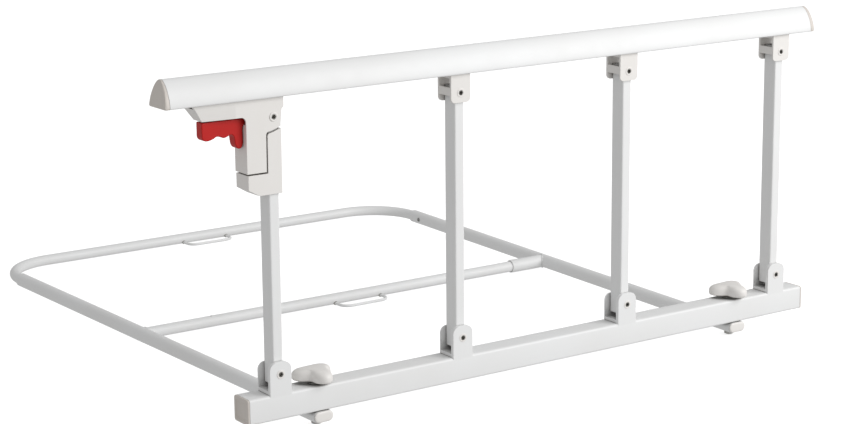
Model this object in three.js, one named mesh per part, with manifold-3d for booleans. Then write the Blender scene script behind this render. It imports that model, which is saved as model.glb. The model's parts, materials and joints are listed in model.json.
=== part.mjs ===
// Bed assist rail: a side guard that folds down towards its latch end, held to the bed
// by a flat frame of tubes that lies under the mattress.
//
// Millimetres, +Z up. +X runs along the bed from the latch end, +Y points under the mattress.
// The pieces are laid out from the axis of post 1, the front face and the underside of the
// bottom rail. The finished group is then moved so that the middle of the whole object's
// footprint, at its lowest point, is the origin.

import * as THREE from 'three';
import { mergeVertices } from 'three/addons/utils/BufferGeometryUtils.js';
import Module from 'manifold-3d';

const wasm = await Module();
wasm.setup();

// ---------------------------------------------------------------- driving dimensions

const TOUCH = 0.3;                    // gap left between pieces that touch
const BITE = 0.5;                     // how far two solids run into each other where they join

const POST_COUNT = 4;
const PITCH = 250;                    // from post to post
const PIN_RISE = 293;                 // from a post's foot pin to its head pin
const POST_WIDTH = 13;                // along X
const POST_DEPTH = 21;                // along Y
const POST_WALL = 1.5;
const POST_CORNER = 1.6;
const FOOT_OVERRUN = 12.5;            // length of post past its foot pin
const HEAD_OVERRUN = 7.5;             // length of post past its head pin

const RAIL_LEFT = -43.7;
const RAIL_RIGHT = 796.8;
const RAIL_DEPTH = 31.5;
const RAIL_HEIGHT = 30;
const RAIL_WALL = 2;
const RAIL_CORNER = 3;
const CAP_LIP = 2.7;                  // thickness of the bottom rail's end caps
const CAP_PLUG = 12;                  // how far a cap reaches into its rail
const CAP_FRAME = 4;                  // width of the frame round a cap's panel
const CAP_PANEL = 1.2;                // depth of that panel

const MID_Y = RAIL_DEPTH / 2;         // the posts, rails and latch share this middle plane
const FOOT_PIN_Z = 53;
const HEAD_PIN_Z = FOOT_PIN_Z + PIN_RISE;

const HANDRAIL_LEFT = -135.5;
const HANDRAIL_RIGHT = 803;
const HANDRAIL_RISE = 22;             // from a head pin to the handrail's underside
const HANDRAIL_HALF = 18.75;
const HANDRAIL_HEIGHT = 31;
const HANDRAIL_FOOT = 1.8;            // radius of its lower corners
const HANDRAIL_WALL = 2;
const HANDRAIL_CROWN = 2.8;           // wall at the top of the section
const HANDRAIL_CAP = 6.5;             // length of the handrail's end caps
const CAP_DOME = 4.2;                 // how far a cap draws in at its outer face
const HANDRAIL_Z = HEAD_PIN_Z + HANDRAIL_RISE;

const PIN_RADIUS = 4;
const PIN_BORE = 4.3;
const PIN_HEAD_RADIUS = 5.2;
const PIN_HEAD = 1.2;
const PIN_SOCKET_RADIUS = 2.6;
const PIN_SOCKET_DEPTH = 3.3;
const PIN_TAIL = 0.5;                 // how far a pin stands out at the back

// A clevis about its pin. Its web joins the two ears at one side, clear of the turning post.
const FOOT_CLEVIS = {
  width: 28,
  front: MID_Y,                       // from the middle plane to its front face, flush with the rail's
  back: 12.7,
  rise: FOOT_PIN_Z - RAIL_HEIGHT,     // from the rail it stands on to its pin
  reach: 14.4,                        // from its pin to the tip of its front ear
  backReach: 10.4,
  round: 8,                           // radius of the ears' corners
  web: { inner: 11, low: -20, high: -10 },
};
const HEAD_CLEVIS = {
  width: 27,
  front: 13.7,
  back: 13.7,
  rise: HANDRAIL_RISE,
  reach: 11.6,
  backReach: 11.6,
  round: 5,
  web: { inner: 10.4, low: -6.5, high: 3 },
};
const CLEVIS_PLAY = 0.3;              // between an ear and the post
const CLEVIS_BASE = 4;

const TUBE_Z = -7;                    // axis of the under-mattress tubes
const ARM_LEFT_X = 55.2;
const ARM_RIGHT_X = 683.6;
const ARM_SPLAY = THREE.MathUtils.degToRad(1.54);
const ARM_RADIUS = 9.4;
const ARM_BORE = 7.9;
const ARM_START = 1;
const ARM_MOUTH = 775;
const FLAT_HALF_WIDTH = 13;           // the arms' flattened ends lie just under the bottom rail
const FLAT_HALF_HEIGHT = 6.7;
const FLAT_WALL = 2.4;
const PLUG_FACE = 2;
const PLUG_STEM = 8;
const FLAT_END = 34;
const ROUND_START = 60;

const BOW_RADIUS = 7.5;
const BOW_BORE = 6;
const BOW_Y = 859;
const BOW_BEND = 78;
const BOW_LAP = 60;                   // length of bow inside each arm

const CROSS_Y = 427;
const SLEEVE_RADIUS = 9.2;
const SLEEVE_BORE = 8;
const SLEEVE_LENGTH = 51;
const SLEEVE_LAP = 30;                // length of cross bar inside the sleeve

const LOOP_X = 371.5;
const LOOP_LENGTH = 73;
const LOOP_REACH = 30;
const LOOP_BEND = 13;
const LOOP_WIRE = 2;
const LOOP_DROP = 4.5;

const BOLT_RADIUS = 3;
const BOLT_HOLE = 3.5;
const BOLT_TIP_Z = -19.5;
const BOLT_REACH = 11;                // how far it runs up into its knob
const WASHER_RADIUS = 9.5;
const WASHER_HEIGHT = 1.5;
const KNOB_FOOT = RAIL_HEIGHT + TOUCH + WASHER_HEIGHT + TOUCH;
const KNOB_HUB_RADIUS = 8;
const KNOB_HUB_HEIGHT = 2;
const KNOB_HEIGHT = 14.3;
const KNOB_MEAN_RADIUS = 21;
const KNOB_LOBE = 6.5;
const KNOB_BEVEL = 2.5;
const KNOB_TURN = THREE.MathUtils.degToRad(33);
const NUT_RADIUS = 6;
const NUT_HEIGHT = 4.5;

const BUTTON_RADIUS = 2.6;
const BUTTON_BACK = 27;               // from an arm's mouth to its snap button
const BUTTON_PROUD = 1.8;
const BUTTON_FOOT = 1.5;              // from the tubes' axis out to the button's flange
const BUTTON_FLANGE = 2.1;

const LATCH_DEPTH = 26.6;
const LATCH_WALL = 2.5;
const LEG_LEFT = -34.4;
const LEG_RIGHT = -10.1;
const LEG_BOTTOM = -60.4;
const LEG_WALL = 2.2;
const HOUSING_TOP = HANDRAIL_RISE - TOUCH;
const HOUSING_ROOF = 4;
const HOUSING_LEFT = -99;
const HOUSING_LIP = 3.2;              // height of the housing's lower edge over the trigger
const HOUSING_SCREWS = [-68, -42];
const LEG_FILLET = 6;                 // where the housing's lower edge turns down into the leg
const SOCKET_BOTTOM = -86.2;
const SOCKET_SCREW_Z = -72;
const SOCKET_DEPTH = 27;

const TRIGGER_DEPTH = 13;
const TRIGGER_TOP = 1.4;
const TRIGGER_LEFT = -85.4;
const TAB_RIGHT = -17.5;
const TAB_BOTTOM = -7.5;
const LATCH_BOLT = { left: -26.5, right: -17.9, depth: 9.5, nose: -61.8, bevel: 5 };
const SPRING_RADIUS = 4.6;
const SPRING_WIRE = 0.75;
const SPRING_TURNS = 4;
const SCREW_HEAD_RADIUS = 4.2;
const SCREW_HEAD_HEIGHT = 2.2;
const SCREW_SHANK_RADIUS = 2;

// ---------------------------------------------------------------- finishes

const WHITE = { color: 0xeceded, roughness: 0.35, metalness: 0 };
const CAP_GREY = { color: 0xc9c9c6, roughness: 0.5, metalness: 0 };
const RED = { color: 0xbb2d24, roughness: 0.4, metalness: 0 };
const STEEL = { color: 0x8d9094, roughness: 0.35, metalness: 0.9 };

// ---------------------------------------------------------------- solids

/** A closed geometry as a solid that can be joined and cut. */
function solid(geometry) {
  const bare = geometry.clone();
  bare.deleteAttribute('normal');
  bare.deleteAttribute('uv');
  const merged = mergeVertices(bare, 1e-4);
  return new wasm.Manifold(new wasm.Mesh({
    numProp: 3,
    vertProperties: new Float32Array(merged.attributes.position.array),
    triVerts: new Uint32Array(merged.index.array),
  }));
}

/** A solid back as a geometry. */
function surface(body) {
  const mesh = body.getMesh();
  const geometry = new THREE.BufferGeometry();
  geometry.setAttribute('position', new THREE.BufferAttribute(mesh.vertProperties, 3));
  geometry.setIndex(new THREE.BufferAttribute(mesh.triVerts, 1));
  geometry.computeVertexNormals();
  return geometry;
}

/** The first solid with all the others cut away from it. */
function cut(body, ...tools) {
  return tools.reduce((rest, tool) => rest.subtract(tool), body);
}

/** All the solids as one. */
function join(...bodies) {
  return bodies.reduce((whole, body) => whole.add(body));
}

function box(x0, x1, y0, y1, z0, z1) {
  const geometry = new THREE.BoxGeometry(x1 - x0, y1 - y0, z1 - z0);
  geometry.translate((x0 + x1) / 2, (y0 + y1) / 2, (z0 + z1) / 2);
  return solid(geometry);
}

/** A round bar along X from x0 to x1, in either order. */
function rodX(radius, y, z, x0, x1, sides = 16) {
  const geometry = new THREE.CylinderGeometry(radius, radius, Math.abs(x1 - x0), sides);
  geometry.rotateZ(Math.PI / 2);
  geometry.translate((x0 + x1) / 2, y, z);
  return solid(geometry);
}

/** A round bar along Y from y0 to y1. */
function rodY(radius, x, z, y0, y1, sides = 16) {
  const geometry = new THREE.CylinderGeometry(radius, radius, y1 - y0, sides);
  geometry.translate(x, (y0 + y1) / 2, z);
  return solid(geometry);
}

/** A round bar along Z from z0 to z1. */
function rodZ(radius, x, y, z0, z1, sides = 16) {
  const geometry = new THREE.CylinderGeometry(radius, radius, z1 - z0, sides);
  geometry.rotateX(Math.PI / 2);
  geometry.translate(x, y, (z0 + z1) / 2);
  return solid(geometry);
}

/** An X-Z outline given depth along Y, from y0 to y1. */
function slab(shape, y0, y1, curveSegments = 4) {
  const geometry = new THREE.ExtrudeGeometry(shape, { depth: y1 - y0, bevelEnabled: false, curveSegments });
  geometry.rotateX(Math.PI / 2);
  geometry.translate(0, y1, 0);
  return solid(geometry);
}

const SECTION_TO_X = new THREE.Matrix4().set(0, 0, 1, 0, 1, 0, 0, 0, 0, 1, 0, 0, 0, 0, 0, 1);

/** A Y-Z section run along X, from x0 to x1. */
function profile(shape, x0, x1, curveSegments = 4) {
  const geometry = new THREE.ExtrudeGeometry(shape, { depth: x1 - x0, bevelEnabled: false, curveSegments });
  geometry.applyMatrix4(SECTION_TO_X);
  geometry.translate(x0, 0, 0);
  return solid(geometry);
}

/** A rectangle with rounded corners, drawn into a shape or a hole. */
function roundedRectangle(path, x0, x1, y0, y1, radius) {
  path.moveTo(x0 + radius, y0);
  path.lineTo(x1 - radius, y0);
  path.absarc(x1 - radius, y0 + radius, radius, -Math.PI / 2, 0);
  path.lineTo(x1, y1 - radius);
  path.absarc(x1 - radius, y1 - radius, radius, 0, Math.PI / 2);
  path.lineTo(x0 + radius, y1);
  path.absarc(x0 + radius, y1 - radius, radius, Math.PI / 2, Math.PI);
  path.lineTo(x0, y0 + radius);
  path.absarc(x0 + radius, y0 + radius, radius, Math.PI, Math.PI * 1.5);
  return path;
}

/** A straight-sided outline through the given points. */
function outline(points) {
  return new THREE.Shape(points.map(([x, z]) => new THREE.Vector2(x, z)));
}

/** A round section, hollow when it has a bore. */
function ring(radius, bore = 0) {
  const shape = new THREE.Shape().absarc(0, 0, radius, 0, Math.PI * 2);
  if (bore > 0) {
    shape.holes.push(new THREE.Path().absarc(0, 0, bore, 0, Math.PI * 2));
  }
  return shape;
}

/** A centre line held as stations, so a straight run takes one step and a bend takes many. */
class StationLine extends THREE.Curve {
  constructor(points) {
    super();
    this.points = points;
  }

  getPoint(t, target = new THREE.Vector3()) {
    const last = this.points.length - 1;
    const place = Math.min(Math.max(t, 0), 1) * last;
    const index = Math.min(Math.floor(place + 1e-9), last - 1);
    return target.lerpVectors(this.points[index], this.points[index + 1], place - index);
  }

  getPointAt(u, target) {
    return this.getPoint(u, target);
  }

  getTangentAt(u, target = new THREE.Vector3()) {
    const last = this.points.length - 1;
    const index = Math.round(u * last);
    const before = this.points[Math.max(index - 1, 0)];
    const after = this.points[Math.min(index + 1, last)];
    const here = this.points[index];
    target.set(0, 0, 0);
    if (index > 0) target.add(here.clone().sub(before).normalize());
    if (index < last) target.add(after.clone().sub(here).normalize());
    return target.normalize();
  }
}

/** A section swept along stations. */
function sweep(shape, points, curveSegments) {
  const extrudePath = new StationLine(points);
  const steps = points.length - 1;
  return solid(new THREE.ExtrudeGeometry(shape, { steps, curveSegments, extrudePath }));
}

/** The stations of a corner rounded to the given radius, between two straight runs. */
function bend(before, corner, after, radius, count) {
  const toBefore = before.clone().sub(corner).normalize();
  const toAfter = after.clone().sub(corner).normalize();
  const half = toBefore.angleTo(toAfter) / 2;
  const middle = toBefore.clone().add(toAfter).normalize();
  const centre = corner.clone().addScaledVector(middle, radius / Math.sin(half));
  const start = corner.clone().addScaledVector(toBefore, radius / Math.tan(half)).sub(centre);
  const end = corner.clone().addScaledVector(toAfter, radius / Math.tan(half)).sub(centre);
  const swing = new THREE.Quaternion().setFromUnitVectors(start.clone().normalize(), end.clone().normalize());
  const stations = [];
  for (let step = 0; step <= count; step += 1) {
    const turn = new THREE.Quaternion().slerp(swing, step / count);
    stations.push(start.clone().applyQuaternion(turn).add(centre));
  }
  return stations;
}

// ---------------------------------------------------------------- assembly helpers

const assembly = new THREE.Group();

function add(name, body, finish) {
  const mesh = new THREE.Mesh(surface(body), new THREE.MeshStandardMaterial(finish));
  mesh.name = name;
  assembly.add(mesh);
  return mesh;
}

const postX = (index) => index * PITCH;

const ARMS = [
  { side: 'left', x: ARM_LEFT_X, outward: -1 },
  { side: 'right', x: ARM_RIGHT_X, outward: 1 },
];

const BUTTON_Y = ARM_MOUTH - BUTTON_BACK;

/** The X of an arm's axis at a given Y. */
const armX = (arm, y) => arm.x + arm.outward * Math.tan(ARM_SPLAY) * y;

/** Turns and shifts a solid made about the Y axis on to an arm. */
function ontoArm(arm, body) {
  const degrees = -arm.outward * THREE.MathUtils.radToDeg(ARM_SPLAY);
  return body.rotate([0, 0, degrees]).translate([arm.x, 0, 0]);
}

// ---------------------------------------------------------------- bottom rail

/** The bottom rail's box section, drawn in by an inset. */
function railSection(path, inset, corner) {
  return roundedRectangle(path, inset, RAIL_DEPTH - inset, inset, RAIL_HEIGHT - inset, corner);
}

function bottomRail() {
  const shape = railSection(new THREE.Shape(), 0, RAIL_CORNER);
  shape.holes.push(railSection(new THREE.Path(), RAIL_WALL, RAIL_CORNER - RAIL_WALL));
  const tube = profile(shape, RAIL_LEFT + CAP_LIP + TOUCH, RAIL_RIGHT - CAP_LIP - TOUCH, 3);
  const boltHoles = ARMS.map((arm) => rodZ(BOLT_HOLE, armX(arm, MID_Y), MID_Y, -1, RAIL_HEIGHT + 1));
  return cut(tube, ...boltHoles);
}

/** An end cap: a lip over the tube's end, a plug inside it and a shallow panel in its face. */
function bottomCap(x, inward) {
  const run = (inset, corner, from, to, segments) => {
    const ends = [x + inward * from, x + inward * to].sort((a, b) => a - b);
    return profile(railSection(new THREE.Shape(), inset, corner), ...ends, segments);
  };
  const lip = run(0, RAIL_CORNER, 0, CAP_LIP, 2);
  const plug = run(RAIL_WALL + TOUCH, 1, CAP_LIP - BITE, CAP_PLUG, 1);
  const panel = run(CAP_FRAME, 2, -1, CAP_PANEL, 1);
  return cut(join(lip, plug), panel);
}

// ---------------------------------------------------------------- clevis brackets and pins

/** A clevis about its pin at the origin, standing up from its rail. */
function clevis({ width, front, back, rise, reach, backReach, round, web }) {
  const half = width / 2;
  const low = -rise + TOUCH;
  const earInner = POST_DEPTH / 2 + CLEVIS_PLAY;
  const ear = (top, y0, y1) => {
    const shape = new THREE.Shape();
    shape.moveTo(-half, low);
    shape.lineTo(half, low);
    shape.lineTo(half, top - round);
    shape.absarc(half - round, top - round, round, 0, Math.PI / 2);
    shape.lineTo(-half + round, top);
    shape.absarc(-half + round, top - round, round, Math.PI / 2, Math.PI);
    return slab(shape, y0, y1, 2);
  };
  const body = join(
    ear(reach, -front, -earInner),
    ear(backReach, earInner, back),
    box(-half, half, -earInner - BITE, earInner + BITE, low, low + CLEVIS_BASE),
    box(web.inner, half, -earInner - BITE, earInner + BITE, web.low, web.high),
  );
  return cut(body, rodY(PIN_BORE, 0, 0, -front - 1, back + 1));
}

/** A headed pin through a clevis, with a drive socket in its head. */
function pin({ front, back }) {
  const seat = -front - TOUCH;
  const face = seat - PIN_HEAD;
  const shaft = rodY(PIN_RADIUS, 0, 0, seat - BITE, back + PIN_TAIL);
  const head = rodY(PIN_HEAD_RADIUS, 0, 0, face, seat);
  const socket = rodY(PIN_SOCKET_RADIUS, 0, 0, face - 1, face + PIN_SOCKET_DEPTH, 6);
  return cut(join(shaft, head), socket);
}

// ---------------------------------------------------------------- posts

function post() {
  const section = (path, inset, corner) => {
    const x = POST_WIDTH / 2 - inset;
    const y = POST_DEPTH / 2 - inset;
    return roundedRectangle(path, -x, x, -y, y, corner);
  };
  const shape = section(new THREE.Shape(), 0, POST_CORNER);
  shape.holes.push(section(new THREE.Path(), POST_WALL, POST_CORNER - 1));
  const length = FOOT_OVERRUN + PIN_RISE + HEAD_OVERRUN;
  const geometry = new THREE.ExtrudeGeometry(shape, { depth: length, bevelEnabled: false, curveSegments: 1 });
  geometry.translate(0, 0, -FOOT_OVERRUN);
  const bores = [0, PIN_RISE].map((z) => rodY(PIN_BORE, 0, z, -POST_DEPTH, POST_DEPTH));
  return cut(solid(geometry), ...bores);
}

// ---------------------------------------------------------------- handrail

/** The handrail's bullet section: flat below, drawn in to a rounded top. */
function handrailSection(path, half, low, high) {
  const foot = HANDRAIL_FOOT;
  const height = high - low;
  path.moveTo(-half + foot, low);
  path.lineTo(half - foot, low);
  path.absarc(half - foot, low + foot, foot, -Math.PI / 2, 0);
  path.bezierCurveTo(half - 0.3, low + 0.48 * height, half * 0.43, high, 0, high);
  path.bezierCurveTo(-half * 0.43, high, -half + 0.3, low + 0.48 * height, -half, low + foot);
  path.absarc(-half + foot, low + foot, foot, Math.PI, Math.PI * 1.5);
  return path;
}

function handrail() {
  const shape = handrailSection(new THREE.Shape(), HANDRAIL_HALF, 0, HANDRAIL_HEIGHT);
  const innerTop = HANDRAIL_HEIGHT - HANDRAIL_CROWN;
  shape.holes.push(handrailSection(new THREE.Path(), HANDRAIL_HALF - HANDRAIL_WALL, HANDRAIL_WALL, innerTop));
  const left = HANDRAIL_LEFT + HANDRAIL_CAP + TOUCH;
  const right = HANDRAIL_RIGHT - HANDRAIL_CAP - TOUCH;
  return profile(shape, left, right, 7).translate([0, MID_Y, HANDRAIL_Z]);
}

/** An end cap of the handrail, domed outside, with a plug inside the tube. */
function handrailCap(x, inward) {
  const shape = handrailSection(new THREE.Shape(), HANDRAIL_HALF, 0, HANDRAIL_HEIGHT);
  const geometry = new THREE.ExtrudeGeometry(shape, {
    depth: HANDRAIL_CAP, steps: 4, bevelEnabled: false, curveSegments: 6,
  });
  geometry.applyMatrix4(SECTION_TO_X);
  const places = geometry.attributes.position;
  for (let index = 0; index < places.count; index += 1) {
    const short = 1 - Math.min(places.getX(index) / HANDRAIL_CAP, 1);
    const inset = CAP_DOME * (1 - Math.sqrt(1 - short * short));
    const middleZ = HANDRAIL_HEIGHT / 2;
    places.setY(index, places.getY(index) * (1 - inset / HANDRAIL_HALF));
    places.setZ(index, middleZ + (places.getZ(index) - middleZ) * (1 - inset / middleZ));
  }
  const clear = HANDRAIL_WALL + TOUCH;
  const plugTop = HANDRAIL_HEIGHT - HANDRAIL_CROWN - TOUCH;
  const plugShape = handrailSection(new THREE.Shape(), HANDRAIL_HALF - clear, clear, plugTop);
  const plug = profile(plugShape, HANDRAIL_CAP - BITE, HANDRAIL_CAP + CAP_PLUG, 5);
  const cap = join(solid(geometry), plug);
  const facing = inward > 0 ? cap : cap.rotate([0, 0, 180]);
  return facing.translate([x, MID_Y, HANDRAIL_Z]);
}

// ---------------------------------------------------------------- latch, about head pin 1

function latchHousing() {
  const shape = new THREE.Shape();
  shape.moveTo(HOUSING_LEFT, HOUSING_TOP);
  shape.lineTo(HOUSING_LEFT + 12.5, HOUSING_LIP);
  shape.lineTo(LEG_LEFT - LEG_FILLET, HOUSING_LIP);
  shape.absarc(LEG_LEFT - LEG_FILLET, HOUSING_LIP - LEG_FILLET, LEG_FILLET, Math.PI / 2, 0, true);
  shape.lineTo(LEG_LEFT, LEG_BOTTOM);
  shape.lineTo(LEG_RIGHT, LEG_BOTTOM);
  shape.lineTo(-9.8, -19.4);
  shape.quadraticCurveTo(-9.5, -16.4, -7.2, -15.9);
  shape.lineTo(-1.7, -14.7);
  shape.lineTo(8.6, -11);
  shape.lineTo(10.2, 6);
  shape.lineTo(13, 9.7);
  shape.lineTo(13, HOUSING_TOP);
  const half = LATCH_DEPTH / 2;
  const inside = half - LATCH_WALL;
  const endSlot = inside - 2;
  const roof = HOUSING_TOP - HOUSING_ROOF;
  const legLeft = LEG_LEFT + LEG_WALL;
  const legRight = LEG_RIGHT - LEG_WALL;
  const legFloor = LEG_BOTTOM + LEG_WALL;
  const boltHalf = LATCH_BOLT.depth / 2 + 0.5;
  const nose = [LATCH_BOLT.left - 0.5, LATCH_BOLT.right + 0.5];
  const screwHole = (x) => rodZ(SCREW_SHANK_RADIUS + TOUCH, x, 0, roof - 1, HOUSING_TOP + 1, 12);
  return cut(
    slab(shape, -half, half, 4),
    box(LEG_RIGHT, 20, -inside, inside, -30, roof),
    box(legLeft, legRight, -inside, inside, legFloor, roof),
    box(HOUSING_LEFT + 11, legRight - 1, -inside, inside, TAB_BOTTOM - 0.6, roof),
    box(...nose, -boltHalf, boltHalf, LEG_BOTTOM - 1, legFloor + 1),
    box(HOUSING_LEFT - 10, HOUSING_LEFT + 20, -endSlot, endSlot, roof + 0.5, HOUSING_TOP + 1),
    rodY(PIN_BORE, 0, 0, -half - 1, half + 1),
    ...HOUSING_SCREWS.map(screwHole),
  );
}

/** A pan-head screw that holds the latch housing up against the handrail. */
function housingScrew(x) {
  const roof = HOUSING_TOP - HOUSING_ROOF;
  const seat = roof - TOUCH;
  const shank = rodZ(SCREW_SHANK_RADIUS, x, 0, seat - BITE, HOUSING_TOP - BITE, 12);
  const head = rodZ(SCREW_HEAD_RADIUS, x, 0, seat - SCREW_HEAD_HEIGHT, seat, 12);
  return join(shank, head);
}

function latchSocket() {
  const shape = new THREE.Shape();
  shape.moveTo(9.3, SOCKET_BOTTOM);
  shape.lineTo(9.3, -13.4);
  shape.lineTo(-1.2, -16.7);
  shape.lineTo(-5.6, -17.7);
  shape.quadraticCurveTo(-8, -18.4, -8.2, -21);
  shape.lineTo(-8.4, LEG_BOTTOM - 1.9);
  shape.lineTo(-33.6, LEG_BOTTOM - 1.9);
  shape.lineTo(-33.6, SOCKET_BOTTOM + 7.8);
  shape.lineTo(-20.4, SOCKET_BOTTOM);
  const half = SOCKET_DEPTH / 2;
  const x = POST_WIDTH / 2 + TOUCH;
  const y = POST_DEPTH / 2 + TOUCH;
  const pocketHalf = LATCH_BOLT.depth / 2 + 1.2;
  const pocket = box(LATCH_BOLT.left - 1.5, LATCH_BOLT.right + 1.9, -pocketHalf, pocketHalf, -76, LEG_BOTTOM);
  return cut(
    slab(shape, -half, half, 4),
    box(-x, x, -y, y, SOCKET_BOTTOM - 1, 0),
    pocket,
    rodY(SCREW_SHANK_RADIUS + TOUCH, 0, SOCKET_SCREW_Z, 0, half + 1, 12),
  );
}

/** A screw from the back that fixes the socket to its post. */
function socketScrew() {
  const seat = SOCKET_DEPTH / 2 + TOUCH;
  const shank = rodY(SCREW_SHANK_RADIUS, 0, SOCKET_SCREW_Z, POST_DEPTH / 2 + TOUCH, seat + BITE, 12);
  const head = rodY(SCREW_HEAD_RADIUS, 0, SOCKET_SCREW_Z, seat, seat + SCREW_HEAD_HEIGHT, 12);
  return join(shank, head);
}

/** The finger trigger: a scalloped bar that curls down beside the leg, with a tab inside it. */
function trigger() {
  const stem = LEG_LEFT - 0.4;
  const shape = new THREE.Shape();
  shape.moveTo(TRIGGER_LEFT, TRIGGER_TOP);
  shape.lineTo(TRIGGER_LEFT, -14);
  shape.quadraticCurveTo(TRIGGER_LEFT + 0.6, -19.4, TRIGGER_LEFT + 7, -19.4);
  shape.quadraticCurveTo(-72, -18.8, -68, -15.8);
  shape.quadraticCurveTo(-64, -15.2, -59, -18);
  shape.quadraticCurveTo(-55, -18.2, -51, -15.4);
  shape.quadraticCurveTo(-47, -14.6, -45.6, -19);
  shape.lineTo(-44.6, -26.5);
  shape.quadraticCurveTo(-43, -32, -39.4, -32);
  shape.quadraticCurveTo(-35.2, -32, stem, -25);
  shape.lineTo(stem, TAB_BOTTOM);
  shape.lineTo(TAB_RIGHT, TAB_BOTTOM);
  shape.lineTo(TAB_RIGHT, TRIGGER_TOP);
  return slab(shape, -TRIGGER_DEPTH / 2, TRIGGER_DEPTH / 2, 4);
}

/** The bolt that the trigger lifts: a bar down the leg with a bevelled nose. */
function latchBolt() {
  const { left, right, depth, nose, bevel } = LATCH_BOLT;
  const shape = outline([
    [left, TAB_BOTTOM - TOUCH],
    [left, nose + bevel],
    [left + bevel, nose],
    [right, nose],
    [right, TAB_BOTTOM - TOUCH],
  ]);
  return slab(shape, -depth / 2, depth / 2);
}

/** The coil spring between the trigger's tab and the housing's roof. */
function latchSpring() {
  const low = TRIGGER_TOP + TOUCH + SPRING_WIRE;
  const high = HOUSING_TOP - HOUSING_ROOF - TOUCH - SPRING_WIRE;
  const stepsPerTurn = 8;
  const steps = SPRING_TURNS * stepsPerTurn;
  const points = [];
  for (let step = 0; step <= steps; step += 1) {
    const angle = (step / stepsPerTurn) * Math.PI * 2;
    const z = THREE.MathUtils.lerp(low, high, step / steps);
    points.push(new THREE.Vector3(SPRING_RADIUS * Math.cos(angle), SPRING_RADIUS * Math.sin(angle), z));
  }
  const x = (LATCH_BOLT.left + LATCH_BOLT.right) / 2;
  return sweep(ring(SPRING_WIRE), points, 3).translate([x, 0, 0]);
}

// ---------------------------------------------------------------- under-mattress frame

/** An arm's outer skin or its bore: round along Y, with the front end flattened under the bottom rail. */
function armSkin(isBore) {
  const sides = 10;
  const start = isBore ? ARM_START - 1 : ARM_START;
  const end = isBore ? ARM_MOUTH + 1 : ARM_MOUTH;
  const stations = [start, FLAT_END];
  for (let step = 1; step <= 4; step += 1) {
    stations.push(THREE.MathUtils.lerp(FLAT_END, ROUND_START, step / 4));
  }
  stations.push(end);
  const points = stations.map((y) => new THREE.Vector3(0, y, 0));
  const geometry = new THREE.ExtrudeGeometry(ring(1), {
    steps: points.length - 1, curveSegments: sides, extrudePath: new StationLine(points),
  });
  const wall = isBore ? FLAT_WALL : 0;
  const radius = isBore ? ARM_BORE : ARM_RADIUS;
  const places = geometry.attributes.position;
  for (let index = 0; index < places.count; index += 1) {
    const y = places.getY(index);
    const across = places.getX(index);
    const upward = places.getZ(index);
    const round = THREE.MathUtils.smoothstep(y, FLAT_END, ROUND_START);
    const flatUp = THREE.MathUtils.clamp(upward * 1.35, -1, 1) * (FLAT_HALF_HEIGHT - wall);
    const flatAcross = across * (FLAT_HALF_WIDTH - wall);
    places.setX(index, THREE.MathUtils.lerp(flatAcross, across * radius, round));
    places.setZ(index, TUBE_Z + THREE.MathUtils.lerp(flatUp, upward * radius, round));
  }
  return solid(geometry);
}

function armTube(arm) {
  const tube = ontoArm(arm, cut(armSkin(false), armSkin(true)));
  const boltHole = rodZ(BOLT_HOLE, armX(arm, MID_Y), MID_Y, -40, 5);
  return cut(tube, boltHole, buttonBore(arm, BUTTON_RADIUS + 0.5));
}

/** A tool for the hole that a snap button stands in, through the inner side of an arm and the bow. */
function buttonBore(arm, radius) {
  const x = armX(arm, BUTTON_Y);
  return rodX(radius, BUTTON_Y, TUBE_Z, x, x - arm.outward * 2 * ARM_RADIUS);
}

/** The oval plug that closes an arm's flattened end. */
function armPlug(arm) {
  const inset = FLAT_WALL + 0.6;
  const faceHalf = FLAT_HALF_HEIGHT - 0.3;
  const plugHalf = FLAT_HALF_HEIGHT - inset;
  const oval = (halfWidth, halfHeight, corner) => roundedRectangle(
    new THREE.Shape(), -halfWidth, halfWidth, TUBE_Z - halfHeight, TUBE_Z + halfHeight, corner);
  const face = oval(FLAT_HALF_WIDTH - 0.5, faceHalf, faceHalf - 0.2);
  const stem = oval(FLAT_HALF_WIDTH - inset - 1, plugHalf - 0.4, 1);
  const seat = ARM_START - TOUCH;
  const button = slab(face, seat - PLUG_FACE, seat, 4);
  return ontoArm(arm, join(button, slab(stem, seat - BITE, seat + PLUG_STEM, 2)));
}

function bowLine() {
  const [left, right] = ARMS;
  const end = ARM_MOUTH - BOW_LAP;
  const at = (arm, y) => new THREE.Vector3(armX(arm, y), y, TUBE_Z);
  const start = at(left, end);
  const finish = at(right, end);
  const cornerLeft = at(left, BOW_Y);
  const cornerRight = at(right, BOW_Y);
  return [
    start,
    ...bend(start, cornerLeft, cornerRight, BOW_BEND, 7),
    ...bend(cornerLeft, cornerRight, finish, BOW_BEND, 7),
    finish,
  ];
}

function farBow() {
  const tube = sweep(ring(BOW_RADIUS, BOW_BORE), bowLine(), 8);
  return cut(tube, ...ARMS.map((arm) => buttonBore(arm, BUTTON_RADIUS + 0.4)));
}

/** A snap button: its head stands out of the arm's inner side, its foot is inside the bow. */
function snapButton(arm) {
  const x = armX(arm, BUTTON_Y);
  const inward = (reach) => x - arm.outward * reach;
  const head = inward(ARM_RADIUS + BUTTON_PROUD);
  const stem = rodX(BUTTON_RADIUS, BUTTON_Y, TUBE_Z, inward(BUTTON_FOOT + BITE), head);
  const flangeEnd = inward(BUTTON_FOOT + BUTTON_FLANGE);
  const flange = rodX(BUTTON_RADIUS + 0.8, BUTTON_Y, TUBE_Z, inward(BUTTON_FOOT), flangeEnd);
  return join(stem, flange);
}

function crossTube(radius, bore, x0, x1, curveSegments) {
  return profile(ring(radius, bore), x0, x1, curveSegments).translate([0, CROSS_Y, TUBE_Z]);
}

/** The space that an arm takes up where the cross bar or its sleeve meets it. */
function cope(arm) {
  return ontoArm(arm, rodY(ARM_RADIUS + TOUCH, 0, TUBE_Z, CROSS_Y - 40, CROSS_Y + 40, 24));
}

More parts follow.
